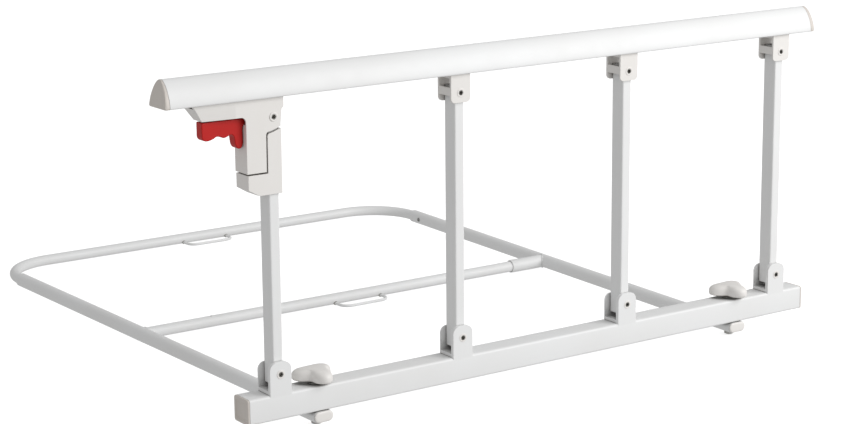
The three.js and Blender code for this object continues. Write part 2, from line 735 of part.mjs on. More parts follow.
const SLEEVE_TIP = armX(ARMS[1], CROSS_Y) - ARM_RADIUS - SLEEVE_LENGTH;

/** A stub of larger tube on the right arm, coped to it, that takes the end of the cross bar. */
function crossSleeve() {
  const right = ARMS[1];
  const tube = crossTube(SLEEVE_RADIUS, SLEEVE_BORE, SLEEVE_TIP, armX(right, CROSS_Y), 10);
  return cut(tube, cope(right));
}

/** The cross bar, coped to the left arm. */
function crossBar() {
  const left = ARMS[0];
  return cut(crossTube(BOW_RADIUS, BOW_BORE, armX(left, CROSS_Y), SLEEVE_TIP + SLEEVE_LAP, 8), cope(left));
}

/** A wire loop on the front of a tube along X: the strap to the bed frame goes through it. */
function strapLoop(barY) {
  const z = TUBE_Z - LOOP_DROP;
  const at = (x, y) => new THREE.Vector3(LOOP_X + x, barY - y, z);
  const half = LOOP_LENGTH / 2;
  const points = [
    at(-half, 4),
    ...bend(at(-half, 4), at(-half, LOOP_REACH), at(half, LOOP_REACH), LOOP_BEND, 4),
    ...bend(at(-half, LOOP_REACH), at(half, LOOP_REACH), at(half, 4), LOOP_BEND, 4),
    at(half, 4),
  ];
  const wire = sweep(ring(LOOP_WIRE), points, 4);
  const tube = profile(ring(BOW_RADIUS + TOUCH), LOOP_X - half - 20, LOOP_X + half + 20, 10);
  return cut(wire, tube.translate([0, barY, TUBE_Z]));
}

// ---------------------------------------------------------------- hand knobs

/** A three-lobed hand knob about its bolt's axis, with a blind bore from below. */
function handKnob() {
  const shape = new THREE.Shape();
  const sides = 36;
  const points = [];
  for (let side = 0; side < sides; side += 1) {
    const angle = (side / sides) * Math.PI * 2;
    const radius = KNOB_MEAN_RADIUS + KNOB_LOBE * Math.cos(3 * (angle - KNOB_TURN));
    points.push(new THREE.Vector2(radius * Math.cos(angle), radius * Math.sin(angle)));
  }
  shape.setFromPoints(points);
  const geometry = new THREE.ExtrudeGeometry(shape, {
    depth: KNOB_HEIGHT - 2 * KNOB_BEVEL, bevelThickness: KNOB_BEVEL, bevelSize: KNOB_BEVEL,
    bevelOffset: -KNOB_BEVEL, bevelSegments: 1,
  });
  geometry.translate(0, 0, KNOB_FOOT + KNOB_HUB_HEIGHT + KNOB_BEVEL);
  const hub = rodZ(KNOB_HUB_RADIUS, 0, 0, KNOB_FOOT, KNOB_FOOT + KNOB_HUB_HEIGHT + 1);
  const bore = rodZ(BOLT_RADIUS + TOUCH, 0, 0, KNOB_FOOT - 1, KNOB_FOOT + BOLT_REACH + BITE);
  return cut(join(solid(geometry), hub), bore);
}

function clampBolt() {
  return rodZ(BOLT_RADIUS, 0, 0, BOLT_TIP_Z, KNOB_FOOT + BOLT_REACH);
}

function knobWasher() {
  const low = RAIL_HEIGHT + TOUCH;
  const high = low + WASHER_HEIGHT;
  return cut(rodZ(WASHER_RADIUS, 0, 0, low, high), rodZ(BOLT_RADIUS + TOUCH, 0, 0, low - 1, high + 1));
}

function clampNut() {
  const high = TUBE_Z - FLAT_HALF_HEIGHT - TOUCH;
  const low = high - NUT_HEIGHT;
  return cut(rodZ(NUT_RADIUS, 0, 0, low, high, 6), rodZ(BOLT_RADIUS + TOUCH, 0, 0, low - 1, high + 1));
}

// ---------------------------------------------------------------- assembly

add('bottom_rail', bottomRail(), WHITE);
add('bottom_cap_left', bottomCap(RAIL_LEFT, 1), CAP_GREY);
add('bottom_cap_right', bottomCap(RAIL_RIGHT, -1), CAP_GREY);

for (let index = 0; index < POST_COUNT; index += 1) {
  const number = index + 1;
  const foot = [postX(index), MID_Y, FOOT_PIN_Z];
  const head = [postX(index), MID_Y, HEAD_PIN_Z];
  add(`foot_bracket_${number}`, clevis(FOOT_CLEVIS).translate(foot), WHITE);
  add(`foot_pin_${number}`, pin(FOOT_CLEVIS).translate(foot), STEEL);
  add(`post_${number}`, post().translate(foot), WHITE);
  add(`head_pin_${number}`, pin(HEAD_CLEVIS).translate(head), STEEL);
  if (index > 0) {
    add(`head_bracket_${number}`, clevis(HEAD_CLEVIS).rotate([0, 180, 0]).translate(head), WHITE);
  }
}

add('top_rail', handrail(), WHITE);
add('top_cap_left', handrailCap(HANDRAIL_LEFT, 1), CAP_GREY);
add('top_cap_right', handrailCap(HANDRAIL_RIGHT, -1), CAP_GREY);

const latchPlace = [postX(0), MID_Y, HEAD_PIN_Z];
add('latch_housing', latchHousing().translate(latchPlace), WHITE);
add('latch_socket', latchSocket().translate(latchPlace), WHITE);
add('socket_screw', socketScrew().translate(latchPlace), STEEL);
add('trigger', trigger().translate(latchPlace), RED);
add('latch_bolt', latchBolt().translate(latchPlace), STEEL);
add('latch_spring', latchSpring().translate(latchPlace), STEEL);
HOUSING_SCREWS.forEach((x, index) => {
  add(`housing_screw_${index + 1}`, housingScrew(x).translate(latchPlace), STEEL);
});

ARMS.forEach((arm) => {
  const boltPlace = [armX(arm, MID_Y), MID_Y, 0];
  add(`arm_${arm.side}`, armTube(arm), WHITE);
  add(`arm_plug_${arm.side}`, armPlug(arm), WHITE);
  add(`snap_button_${arm.side}`, snapButton(arm), STEEL);
  add(`hand_knob_${arm.side}`, handKnob().translate(boltPlace), WHITE);
  add(`clamp_bolt_${arm.side}`, clampBolt().translate(boltPlace), STEEL);
  add(`knob_washer_${arm.side}`, knobWasher().translate(boltPlace), STEEL);
  add(`clamp_nut_${arm.side}`, clampNut().translate(boltPlace), STEEL);
});

add('far_bow', farBow(), WHITE);
add('cross_sleeve', crossSleeve(), WHITE);
add('cross_bar', crossBar(), WHITE);
add('strap_loop_far', strapLoop(BOW_Y), WHITE);
add('strap_loop_middle', strapLoop(CROSS_Y), WHITE);

// The origin goes to the middle of the footprint, at the lowest point.
const extent = new THREE.Box3().setFromObject(assembly);
const middle = extent.getCenter(new THREE.Vector3());
assembly.position.set(-middle.x, -middle.y, -extent.min.z);

const bedRail = new THREE.Group();
bedRail.add(assembly);

export default bedRail;
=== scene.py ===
import json
import math

import bmesh
import bpy
from mathutils import Matrix, Vector


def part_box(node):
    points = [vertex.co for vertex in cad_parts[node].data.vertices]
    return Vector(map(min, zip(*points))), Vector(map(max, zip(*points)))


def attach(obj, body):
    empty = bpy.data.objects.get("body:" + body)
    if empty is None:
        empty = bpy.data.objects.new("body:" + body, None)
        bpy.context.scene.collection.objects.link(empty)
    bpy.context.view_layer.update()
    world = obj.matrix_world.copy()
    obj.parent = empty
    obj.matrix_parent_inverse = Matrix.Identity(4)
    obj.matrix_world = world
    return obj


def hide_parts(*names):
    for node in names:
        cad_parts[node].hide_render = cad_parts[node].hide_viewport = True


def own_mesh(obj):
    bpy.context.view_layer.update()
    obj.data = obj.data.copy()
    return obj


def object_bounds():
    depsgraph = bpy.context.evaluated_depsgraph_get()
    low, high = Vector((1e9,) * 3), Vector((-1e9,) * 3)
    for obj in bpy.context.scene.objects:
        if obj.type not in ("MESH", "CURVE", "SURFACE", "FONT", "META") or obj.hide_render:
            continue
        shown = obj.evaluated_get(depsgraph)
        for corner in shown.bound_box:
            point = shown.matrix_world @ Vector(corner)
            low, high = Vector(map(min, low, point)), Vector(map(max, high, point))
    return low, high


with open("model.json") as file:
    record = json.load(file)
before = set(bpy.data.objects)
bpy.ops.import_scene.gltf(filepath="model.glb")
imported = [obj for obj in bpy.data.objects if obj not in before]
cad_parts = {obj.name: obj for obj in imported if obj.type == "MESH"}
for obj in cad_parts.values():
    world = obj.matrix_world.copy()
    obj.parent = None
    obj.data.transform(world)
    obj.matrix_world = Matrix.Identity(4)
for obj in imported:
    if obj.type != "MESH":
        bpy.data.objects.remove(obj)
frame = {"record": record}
CAD_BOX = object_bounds()
RECORD = frame["record"]

# Shapes are drawn in millimetres about a place; places are in metres, in the row frame.
MM = 0.001
SHARP = 32  # degrees: an edge that turns by more is a sharp one
Z = Vector((0, 0, 1))

# ---------------- sizes, in millimetres unless it says degrees

TOUCH = 0.3  # gap between pieces that touch
CLOSE_GAP = 0.15  # where one is coped or bored round another
RAIL_WALL = 2.0
RAIL_CORNER = 3.0
LIP_LENGTH = 2.7  # of a bottom cap, over the rail's end
HANDRAIL_FOOT = 1.8  # radius of the handrail's lower corners
HANDRAIL_CROWN = 2.8  # its wall at the top of the section
CAP_LENGTH = 6.5
CAP_PLUG = 12.0  # how far a cap reaches into its rail
CAP_RAKE = {"left": 4.0, "right": 1.5}

POST_WALL = 1.5
POST_CORNER = 1.8
POST_BORE = 4.3
PIN_RADIUS = 4.0
PIN_RIM = 3.0  # of the steel inside the collar
PIN_BORE = 4.15
PIN_COVER = 5.2  # radius of the collar
PIN_HEAD = 1.5  # from a pin's front end to its bracket's face
PIN_PROUD = 0.5
CLEVIS_SLOT = 10.8  # from the middle plane to an ear
CLEVIS_BASE = 4.0
FOOT_EAR_ROUND = 9.0
HEAD_EAR_ROUND = 5.5
BACK_REACH = 10.4  # from a foot pin to the back ear's tip
FOOT_WEB = (11.0, -20.0, -10.0)  # a web's inner X, bottom and top, from its pin
HEAD_WEB = (10.4, -6.5, 3.0)
SKIRT = 4.1  # how far a front ear runs down over the rail's corner
FLUSH = 0.05  # how far behind the rail's face it stands

ARM_RADIUS = 9.4
ARM_BORE = 7.9
ARM_SPLAY = 1.54  # degrees
FLAT_HALF_WIDTH = 13.0
FLAT_HALF_HEIGHT = 6.7
FLAT_WALL = 2.4
FLAT_LENGTH = 33.0
FLARE_LENGTH = 26.0  # from the flat end to the round tube
BAR_RADIUS = 7.5
BAR_BORE = 6.0
DRAIN_X = 96.0  # from the cross bar's root to its drain hole
DRAIN_RADIUS = 1.8
SLEEVE_RADIUS = 9.2
SLEEVE_BORE = 8.0
BOW_BEND = 78.0
LOOP_WIRE = 2.0
LOOP_BEND = 13.0
LOOP_WELD = 2.9
BUTTON_RADIUS = 2.6

BOLT_RADIUS = 3.0
BOLT_HOLE = 3.5
BOLT_REACH = 11.1  # depth of the bore in a knob
BOLT_THREAD = 26.0  # length of the thread
THREAD_PITCH = 1.0
THREAD_DEPTH = 0.5
NUT_RADIUS = 6.0
NUT_BORE = 3.25
KNOB_FOOT = 2.0  # height of the hub under the lobes
KNOB_TURN = 33.0  # degrees
KNOB_MEAN = 21.0
KNOB_LOBE = 6.5

# The latch is drawn about head pin 1.
LATCH_HALF = 13.3  # half of the housing's depth
LATCH_WALL = 2.2
ROOF = 21.7
CEILING = 17.5
LIP = 3.2  # the housing's lower edge over the trigger
NOSE_LEFT = -99.0
NOSE_LOW_LEFT = -86.5
NOSE_SHOULDER = 16.7  # the nose draws in below this height
NOSE_FOOT = 9.4  # half of its depth at the lower edge of its free end
NOSE_ROOT = -48.0
LEG_LEFT = -34.4
LEG_RIGHT = -10.1
LEG_BOTTOM = -60.4
LEG_FILLET = 6.0
SOCKET_HALF = 13.5
SOCKET_LEFT = -33.6
SOCKET_RIGHT = 9.3
SOCKET_TOP = -62.3  # of the part below the leg
SOCKET_BOTTOM = -86.2
SOCKET_SCREW_Z = -72.0
TONGUE_LEFT = -26.5
TONGUE_RIGHT = -17.9
TONGUE_TIP = -61.8
TONGUE_BEVEL = 5.0
TONGUE_HALF = 4.75
GRIP_LEFT = -85.4
GRIP_TOP = 1.4
TAB_BOTTOM = -7.5
TRIGGER_HALF = 6.5

# Radii of the moulded edges.
BRACKET_EDGE = 0.8
LATCH_EDGE = 0.7
TRIGGER_EDGE = 1.3
TONGUE_EDGE = 0.5

# ---------------- places, from the frame


def middle(node):
    low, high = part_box(node)
    return (low + high) / 2


RAIL_LOW, RAIL_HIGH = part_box("bottom_rail")
TOP_LOW, TOP_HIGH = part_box("top_rail")
MID_Y = middle("bottom_rail").y
FOOT_PINS = [middle(f"foot_pin_{k}") for k in (1, 2, 3, 4)]
HEAD_PINS = [middle(f"head_pin_{k}") for k in (1, 2, 3, 4)]
TUBE_Z = middle("far_bow").z
SIDES = ("left", "right")


def on_middle(point):
    """The same point in the middle plane that the posts and rails share."""
    return Vector((point.x, MID_Y, point.z))


def arm_axis(side):
    """The start and direction of an arm's axis: it passes its clamp bolt and splays outwards."""
    bolt = middle(f"clamp_bolt_{side}")
    splay = math.radians(ARM_SPLAY) * (-1 if side == "left" else 1)
    return Vector((bolt.x, bolt.y, 0)), Vector((math.sin(splay), math.cos(splay), 0))


def arm_at(side, y, z=None):
    """The point of an arm's axis at a given Y."""
    start, along = arm_axis(side)
    return Vector((start.x + along.x * (y - start.y) / along.y, y, TUBE_Z if z is None else z))


# ---------------- outlines, in millimetres


def arc(x, y, radius, start, end, steps):
    angles = [math.radians(start + (end - start) * i / steps) for i in range(steps + 1)]
    return [(x + radius * math.cos(a), y + radius * math.sin(a)) for a in angles]


def curve(a, b, c, steps):
    """A quadratic curve from a to c, drawn towards b, without its first point."""
    out = []
    for i in range(1, steps + 1):
        t = i / steps
        out.append(tuple((1 - t) ** 2 * a[k] + 2 * t * (1 - t) * b[k] + t * t * c[k] for k in (0, 1)))
    return out


def rounded_box(x0, x1, y0, y1, radius, steps=6):
    return (
        arc(x1 - radius, y0 + radius, radius, -90, 0, steps)
        + arc(x1 - radius, y1 - radius, radius, 0, 90, steps)
        + arc(x0 + radius, y1 - radius, radius, 90, 180, steps)
        + arc(x0 + radius, y0 + radius, radius, 180, 270, steps)
    )


def bullet(half, low, high, steps=16):
    """The handrail's section: flat below, drawn in to a rounded top."""
    foot = HANDRAIL_FOOT
    height = high - low
    a, b = (half, low + foot), (half - 0.3, low + 0.48 * height)
    c, d = (half * 0.43, high), (0, high)
    side = []
    for i in range(1, steps + 1):
        t = i / steps
        k = ((1 - t) ** 3, 3 * t * (1 - t) ** 2, 3 * t * t * (1 - t), t ** 3)
        side.append(tuple(k[0] * a[n] + k[1] * b[n] + k[2] * c[n] + k[3] * d[n] for n in (0, 1)))
    right = arc(half - foot, low + foot, foot, -90, 0, 5) + side
    left = [(-y, z) for y, z in reversed(right[:-1])]
    return right + left


def circle(radius, sides, phase=0.0):
    angles = [2 * math.pi * i / sides + phase for i in range(sides)]
    return [(radius * math.cos(a), radius * math.sin(a)) for a in angles]


def shrink(section, inset):
    """A section about its own middle, made smaller by an inset on each side."""
    xs, ys = [p[0] for p in section], [p[1] for p in section]
    cx, cy = (min(xs) + max(xs)) / 2, (min(ys) + max(ys)) / 2
    kx = 1 - inset / ((max(xs) - min(xs)) / 2)
    ky = 1 - inset / ((max(ys) - min(ys)) / 2)
    return [(cx + (x - cx) * kx, cy + (y - cy) * ky) for x, y in section]


# ---------------- meshes


def mesh_object(name, points, faces, place=(0, 0, 0)):
    """A mesh of points in millimetres about a place in metres, with its faces turned outwards."""
    origin = Vector(place)
    mesh = bpy.data.meshes.new(name)
    mesh.from_pydata([origin + Vector(p) * MM for p in points], [], faces)
    made = bmesh.new()
    made.from_mesh(mesh)
    bmesh.ops.recalc_face_normals(made, faces=made.faces)
    made.to_mesh(mesh)
    made.free()
    piece = bpy.data.objects.new(name, mesh)
    bpy.context.scene.collection.objects.link(piece)
    return piece


def along_axis(section, axis, t):
    """A flat section as 3-D points at t along an axis."""
    if axis == "X":
        return [(t, a, b) for a, b in section]
    if axis == "Y":
        return [(a, t, b) for a, b in section]
    return [(a, b, t) for a, b in section]


def bridge(first, second, count):
    """The quads between two rings of the same count."""
    return [(first + i, first + (i + 1) % count, second + (i + 1) % count, second + i) for i in range(count)]


def loft(name, rings, place=(0, 0, 0)):
    """A closed solid through rings of the same count; a ring of one point closes an end in a fan."""
    points, faces, starts = [], [], []
    for ring in rings:
        starts.append(len(points))
        points += ring
    for (a, ra), (b, rb) in zip(zip(starts, rings), zip(starts[1:], rings[1:])):
        if len(ra) == 1:
            faces += [(a, b + (i + 1) % len(rb), b + i) for i in range(len(rb))]
        elif len(rb) == 1:
            faces += [(b, a + i, a + (i + 1) % len(ra)) for i in range(len(ra))]
        else:
            faces += bridge(a, b, len(ra))
    for start, ring in ((starts[0], rings[0]), (starts[-1], rings[-1])):
        if len(ring) > 1:
            faces.append(tuple(range(start, start + len(ring))))
    return mesh_object(name, points, faces, place)


def hollow(name, outer, inner, place=(0, 0, 0)):
    """An open-ended tube through pairs of outer and inner rings, with flat ends."""
    count = len(outer[0])
    points, faces = [], []
    for ring in outer + inner:
        points += ring
    runs = len(outer)
    for i in range(runs - 1):
        faces += bridge(i * count, (i + 1) * count, count)
        faces += bridge((runs + i) * count, (runs + i + 1) * count, count)
    faces += bridge(0, runs * count, count)
    faces += bridge((runs - 1) * count, (2 * runs - 1) * count, count)
    return mesh_object(name, points, faces, place)


def prism(name, section, axis, low, high, place=(0, 0, 0)):
    return loft(name, [along_axis(section, axis, low), along_axis(section, axis, high)], place)


def tube(name, outer, inner, axis, low, high, place=(0, 0, 0)):
    ends = (low, high)
    return hollow(
        name, [along_axis(outer, axis, t) for t in ends], [along_axis(inner, axis, t) for t in ends], place
    )


def block(x0, x1, y0, y1, z0, z1, place=(0, 0, 0)):
    return prism("tool", [(x0, y0), (x1, y0), (x1, y1), (x0, y1)], "Z", z0, z1, place)


def lathe(name, profile, axis="Z", sides=32, place=(0, 0, 0)):
    """A solid turned about an axis from (radius, height) pairs; a radius of 0 closes it."""
    rings = []
    for radius, height in profile:
        ring = [(0, 0)] if radius == 0 else circle(radius, sides)
        rings.append(along_axis(ring, axis, height))
    return loft(name, rings, place)


def along_path(stations, section):
    """Rings of a section carried along level stations, upright all the way."""
    rings = []
    last = len(stations) - 1
    for i, here in enumerate(stations):
        ahead = (stations[min(i + 1, last)] - here).normalized()
        behind = (here - stations[max(i - 1, 0)]).normalized()
        side = (ahead + behind).normalized().cross(Z)
        rings.append([tuple(here + side * a + Z * b) for a, b in section])
    return rings


def bend(before, corner, after, radius, steps):
    """The stations of a corner rounded to a radius between two straight runs."""
    to_before, to_after = (before - corner).normalized(), (after - corner).normalized()
    half = to_before.angle(to_after) / 2
    centre = corner + (to_before + to_after).normalized() * (radius / math.sin(half))
    start = corner + to_before * (radius / math.tan(half)) - centre
    end = corner + to_after * (radius / math.tan(half)) - centre
    swing = start.rotation_difference(end)
    turns = [Matrix.Rotation(swing.angle * i / steps, 3, swing.axis) for i in range(steps + 1)]
    return [centre + turn @ start for turn in turns]


def settle(piece):
    """Applies a piece's modifiers to its mesh."""
    shown = bpy.context.evaluated_depsgraph_get()
    mesh = bpy.data.meshes.new_from_object(piece.evaluated_get(shown))
    piece.modifiers.clear()
    piece.data = mesh
    return piece


def boolean(piece, tools, operation):
    for tool in tools:
        step = piece.modifiers.new("step", "BOOLEAN")
        step.object, step.operation, step.solver = tool, operation, "EXACT"
    settle(piece)
    for tool in tools:
        bpy.data.objects.remove(tool)
    return piece


def carve(piece, *tools):
    return boolean(piece, tools, "DIFFERENCE")


def join(piece, *others):
    return boolean(piece, others, "UNION")


def smooth(piece, angle=SHARP):
    """Smooth shading, broken at the edges sharper than the angle."""
    piece.data.polygons.foreach_set("use_smooth", [True] * len(piece.data.polygons))
    piece.data.set_sharp_from_angle(angle=math.radians(angle))
    return piece


def soften(piece, width, segments):
    """A small radius on every hard edge."""
    piece.data.polygons.foreach_set("use_smooth", [True] * len(piece.data.polygons))
    edge = piece.modifiers.new("edge", "BEVEL")
    edge.width, edge.segments = width * MM, segments
    edge.limit_method, edge.angle_limit = "ANGLE", math.radians(SHARP)
    edge.use_clamp_overlap, edge.miter_outer = True, "MITER_ARC"
    normals = piece.modifiers.new("normals", "WEIGHTED_NORMAL")
    normals.keep_sharp, normals.weight = False, 60
    return piece


# ---------------- materials

# Painted shade: an ambient-occlusion mask darkens the base colours in crevices, slots and corners.
SHADE_RANGE = (0.12, 0.62)  # how open a place is where the painted shade is darkest, and where it ends
PAINT_SHADE_REACH = 0.02  # how far away a crevice's walls still count, in metres
PLASTIC_SHADE_REACH = 0.012


class Nodes:
    """A material's node tree, with short calls for its usual nodes."""

    def __init__(self, name):
        self.material = bpy.data.materials.new(name)
        self.material.use_nodes = True
        self.tree = self.material.node_tree
        self.shader = self.tree.nodes["Principled BSDF"]
        place = self.tree.nodes.new("ShaderNodeTexCoord")
        self.place = place.outputs["Object"]

    def link(self, source, target):
        self.tree.links.new(source, target)

    def noise(self, scale, detail=2.0, roughness=0.5, stretch=None):
        """Noise with features about 1/scale metres wide."""
        node = self.tree.nodes.new("ShaderNodeTexNoise")
        node.inputs["Scale"].default_value = scale
        node.inputs["Detail"].default_value = detail
        node.inputs["Roughness"].default_value = roughness
        source = self.place
        if stretch:
            mapping = self.tree.nodes.new("ShaderNodeMapping")
            mapping.inputs["Scale"].default_value = stretch
            self.link(self.place, mapping.inputs["Vector"])
            source = mapping.outputs["Vector"]
        self.link(source, node.inputs["Vector"])
        return node.outputs["Fac"]

    def between(self, factor, low, high, start=0.3, end=0.7):
        """A factor's middle range as a number from low to high."""
        node = self.tree.nodes.new("ShaderNodeMapRange")
        node.inputs["From Min"].default_value = start
        node.inputs["From Max"].default_value = end
        node.inputs["To Min"].default_value = low
        node.inputs["To Max"].default_value = high
        self.link(factor, node.inputs["Value"])
        return node.outputs["Result"]

    def mix(self, factor, a, b):
        """A colour between two others."""
        node = self.tree.nodes.new("ShaderNodeMix")
        node.data_type = "RGBA"
        self.link(factor, node.inputs["Factor"])
        for colour, socket in ((a, node.inputs[6]), (b, node.inputs[7])):
            if isinstance(colour, tuple):
                socket.default_value = (*colour, 1)
            else:
                self.link(colour, socket)
        return node.outputs[2]

    def crevice_shade(self, colour, reach, dark):
        """The colour, darkened by painted shade in the slots and corners that an ambient-occlusion mask finds
        closed in.
        """
        node = self.tree.nodes.new("ShaderNodeAmbientOcclusion")
        node.samples = 8
        node.inputs["Distance"].default_value = reach
        unshaded = self.between(node.outputs["AO"], 0, 1, *SHADE_RANGE)
        return self.mix(unshaded, dark, colour)

    def bump(self, *layers):
        """Bump from (height, strength, distance in metres) layers."""
        last = None
        for height, strength, distance in layers:
            node = self.tree.nodes.new("ShaderNodeBump")
            node.inputs["Strength"].default_value = strength
            node.inputs["Distance"].default_value = distance
            self.link(height, node.inputs["Height"])
            if last:
                self.link(last, node.inputs["Normal"])
            last = node.outputs["Normal"]
        self.link(last, self.shader.inputs["Normal"])

    def set(self, **values):
        for name, value in values.items():
            self.shader.inputs[name.replace("_", " ")].default_value = value


def slot_colour(slot):
    return tuple(next(m["base_color"] for m in RECORD["materials"] if m["slot"] == slot))


def shade(colour, factor, warm=0.0):
    """A colour made darker or lighter, and warmer or cooler."""
    return tuple(min(1, c * factor * (1 + warm * w)) for c, w in zip(colour, (1, 0, -1)))


def powder_coat(slot):
    """Satin powder coat: a fine orange peel, faint clouding and a few dark specks."""
    n = Nodes(slot)
    colour = slot_colour(slot)
    cloud = n.mix(n.between(n.noise(9, 3), 0, 1), shade(colour, 0.975, 0.006), shade(colour, 1.01))
    speck = n.between(n.noise(2600, 2), 0, 0.35, 0.66, 0.76)
    coat = n.mix(speck, cloud, shade(colour, 0.86))
    # Painted shade: the coat is darkened to a deep grey in crevices and corners.
    n.link(n.crevice_shade(coat, PAINT_SHADE_REACH, shade(colour, 0.22, 0.06)), n.shader.inputs["Base Color"])
    n.link(n.between(n.noise(60, 4), 0.42, 0.54), n.shader.inputs["Roughness"])
    n.bump((n.noise(620, 3, 0.55), 0.22, 0.00006), (n.noise(2400, 2), 0.12, 0.00002))
    n.set(Coat_Weight=0.1, Coat_Roughness=0.3, IOR=1.5)
    return n.material


def moulded_plastic(slot, rough, grain, tint=0.97, gloss=0.5):
    """Injection-moulded plastic: a spark-eroded grain and faint flow marks."""
    n = Nodes(slot)
    colour = slot_colour(slot)
    drift = n.between(n.noise(14, 3, 0.6, (1, 1, 0.35)), 0, 1)
    flow = n.mix(drift, shade(colour, tint, 0.01), shade(colour, 1.015))
    # Painted shade: the plastic is darkened in crevices, slots and corners.
    n.link(n.crevice_shade(flow, PLASTIC_SHADE_REACH, shade(colour, 0.35, 0.06)), n.shader.inputs["Base Color"])
    n.link(n.between(n.noise(130, 4), rough - 0.05, rough + 0.07), n.shader.inputs["Roughness"])
    n.bump((n.noise(grain, 2, 0.6), 0.2, 0.00004), (n.noise(55, 2), 0.08, 0.0002))
    n.set(Specular_IOR_Level=gloss, IOR=1.49)
    return n.material


def steel(slot, rough, streak):
    """Plated steel: fine turning marks, cloudy passivation and dulled patches."""
    n = Nodes(slot)
    colour = slot_colour(slot)
    patches = n.between(n.noise(240, 4, 0.6), 0, 1)
    n.link(n.mix(patches, shade(colour, 0.72, 0.03), shade(colour, 1.25)), n.shader.inputs["Base Color"])
    n.link(n.between(n.noise(420, 4), rough - 0.1, rough + 0.14), n.shader.inputs["Roughness"])
    n.bump((n.noise(streak, 2, 0.5, (0.12, 0.12, 1)), 0.25, 0.00003), (n.noise(1500, 2), 0.15, 0.00002))
    n.set(Metallic=1.0)
    return n.material


MATERIALS = {
    "white_paint": powder_coat("white_paint"),
    "white_plastic": moulded_plastic("white_plastic", 0.40, 2600),
    "cap_plastic": moulded_plastic("cap_plastic", 0.46, 1800, 0.93),
    "red_plastic": moulded_plastic("red_plastic", 0.42, 2200, 0.9, 0.3),
    "zinc_steel": steel("zinc_steel", 0.38, 2600),
    "button_steel": steel("button_steel", 0.34, 2200),
}
BODY_OF = {node: body for body, nodes in RECORD["behaviour"]["bodies"].items() for node in nodes}
SLOT_OF = {part["node"]: part["material_slot"] for part in RECORD["subparts"]}


def finish_with(piece, slot, body):
    """Gives a piece its material and lets it ride on a body."""
    piece.data.materials.clear()
    piece.data.materials.append(MATERIALS[slot])
    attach(piece, body)
    return piece


def stands_for(piece, node):
    """The piece takes the place, body and finish of one CAD node."""
    finish_with(piece, SLOT_OF[node], BODY_OF[node])
    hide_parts(node)
    return piece


# ---------------- rails and their caps


def bottom_rail():
    place = Vector((0, RAIL_LOW.y, RAIL_LOW.z))
    depth, height = (RAIL_HIGH.y - RAIL_LOW.y) / MM, (RAIL_HIGH.z - RAIL_LOW.z) / MM
    outer = rounded_box(0, depth, 0, height, RAIL_CORNER)
    inner = rounded_box(
        RAIL_WALL, depth - RAIL_WALL, RAIL_WALL, height - RAIL_WALL, RAIL_CORNER - RAIL_WALL
    )
    rail = tube("rail_lower", outer, inner, "X", RAIL_LOW.x / MM, RAIL_HIGH.x / MM, place)
    holes = []
    for side in SIDES:
        spot = (middle(f"clamp_bolt_{side}").x, MID_Y, RAIL_LOW.z)
        holes.append(lathe("tool", [(BOLT_HOLE, -1), (BOLT_HOLE, height + 1)], "Z", 32, spot))
    stands_for(smooth(carve(rail, *holes)), "bottom_rail")


def bottom_cap(side, inward):
    low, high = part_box(f"bottom_cap_{side}")
    face = low.x if inward > 0 else high.x
    depth, height = (high.y - low.y) / MM, (high.z - low.z) / MM
    section = rounded_box(0, depth, 0, height, RAIL_CORNER)
    clear = RAIL_WALL + TOUCH
    plug = rounded_box(clear, depth - clear, clear, height - clear, 1.2)
    # (distance in from the face, section): panel floor, panel wall, frame, rounded lip, plug
    steps = [
        (1.2, shrink(section, 5.2)),
        (1.0, shrink(section, 4.6)),
        (0.25, shrink(section, 4.1)),
        (0.0, shrink(section, 3.7)),
        (0.0, shrink(section, 1.3)),
        (0.25, shrink(section, 0.6)),
        (0.7, shrink(section, 0.15)),
        (1.2, section),
        (LIP_LENGTH - 0.1, section),
        (LIP_LENGTH, shrink(section, 0.1)),
        (LIP_LENGTH, plug),
        (CAP_PLUG - 0.5, plug),
        (CAP_PLUG, shrink(plug, 0.6)),
    ]
    rings = [along_axis(s, "X", inward * x) for x, s in steps]
    cap = loft(f"cap_lower_{side}", rings, (face, low.y, low.z))
    stands_for(smooth(cap, 40), f"bottom_cap_{side}")


def handrail():
    half, height = (TOP_HIGH.y - TOP_LOW.y) / 2 / MM, (TOP_HIGH.z - TOP_LOW.z) / MM
    outer = bullet(half, 0, height)
    inner = bullet(half - RAIL_WALL, RAIL_WALL, height - HANDRAIL_CROWN)
    place = (0, MID_Y, TOP_LOW.z)
    rail = tube("rail_upper", outer, inner, "X", TOP_LOW.x / MM, TOP_HIGH.x / MM, place)
    stands_for(smooth(rail), "top_rail")


def handrail_cap(side, inward):
    """A moulded end cap: its face is raked back at the top and its rim is rounded over."""
    low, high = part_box(f"top_cap_{side}")
    face = low.x if inward > 0 else high.x
    half, height = (high.y - low.y) / 2 / MM, (high.z - low.z) / MM
    section = bullet(half, 0, height)
    clear = RAIL_WALL + TOUCH
    plug = bullet(half - clear, clear, height - HANDRAIL_CROWN - TOUCH)
    steps = [
        (0.35, shrink(section, 4.4)),
        (0.05, shrink(section, 3.2)),
        (0.0, shrink(section, 2.2)),
        (0.15, shrink(section, 1.4)),
        (0.55, shrink(section, 0.7)),
        (1.3, shrink(section, 0.2)),
        (2.2, section),
        (CAP_LENGTH - 0.3, section),
        (CAP_LENGTH, shrink(section, 0.25)),
        (CAP_LENGTH, plug),
        (CAP_LENGTH + CAP_PLUG - 0.5, plug),
        (CAP_LENGTH + CAP_PLUG, shrink(plug, 0.8)),
    ]
    rings = []
    for x, outline in steps:
        lean = CAP_RAKE[side] * max(0, 1 - x / CAP_LENGTH)
        rings.append([(inward * (x + lean * z / height), y, z) for y, z in outline])
    cap = loft(f"cap_upper_{side}", rings, (face, MID_Y, low.z))
    stands_for(smooth(cap, 40), f"top_cap_{side}")


# ---------------- posts, brackets and pins


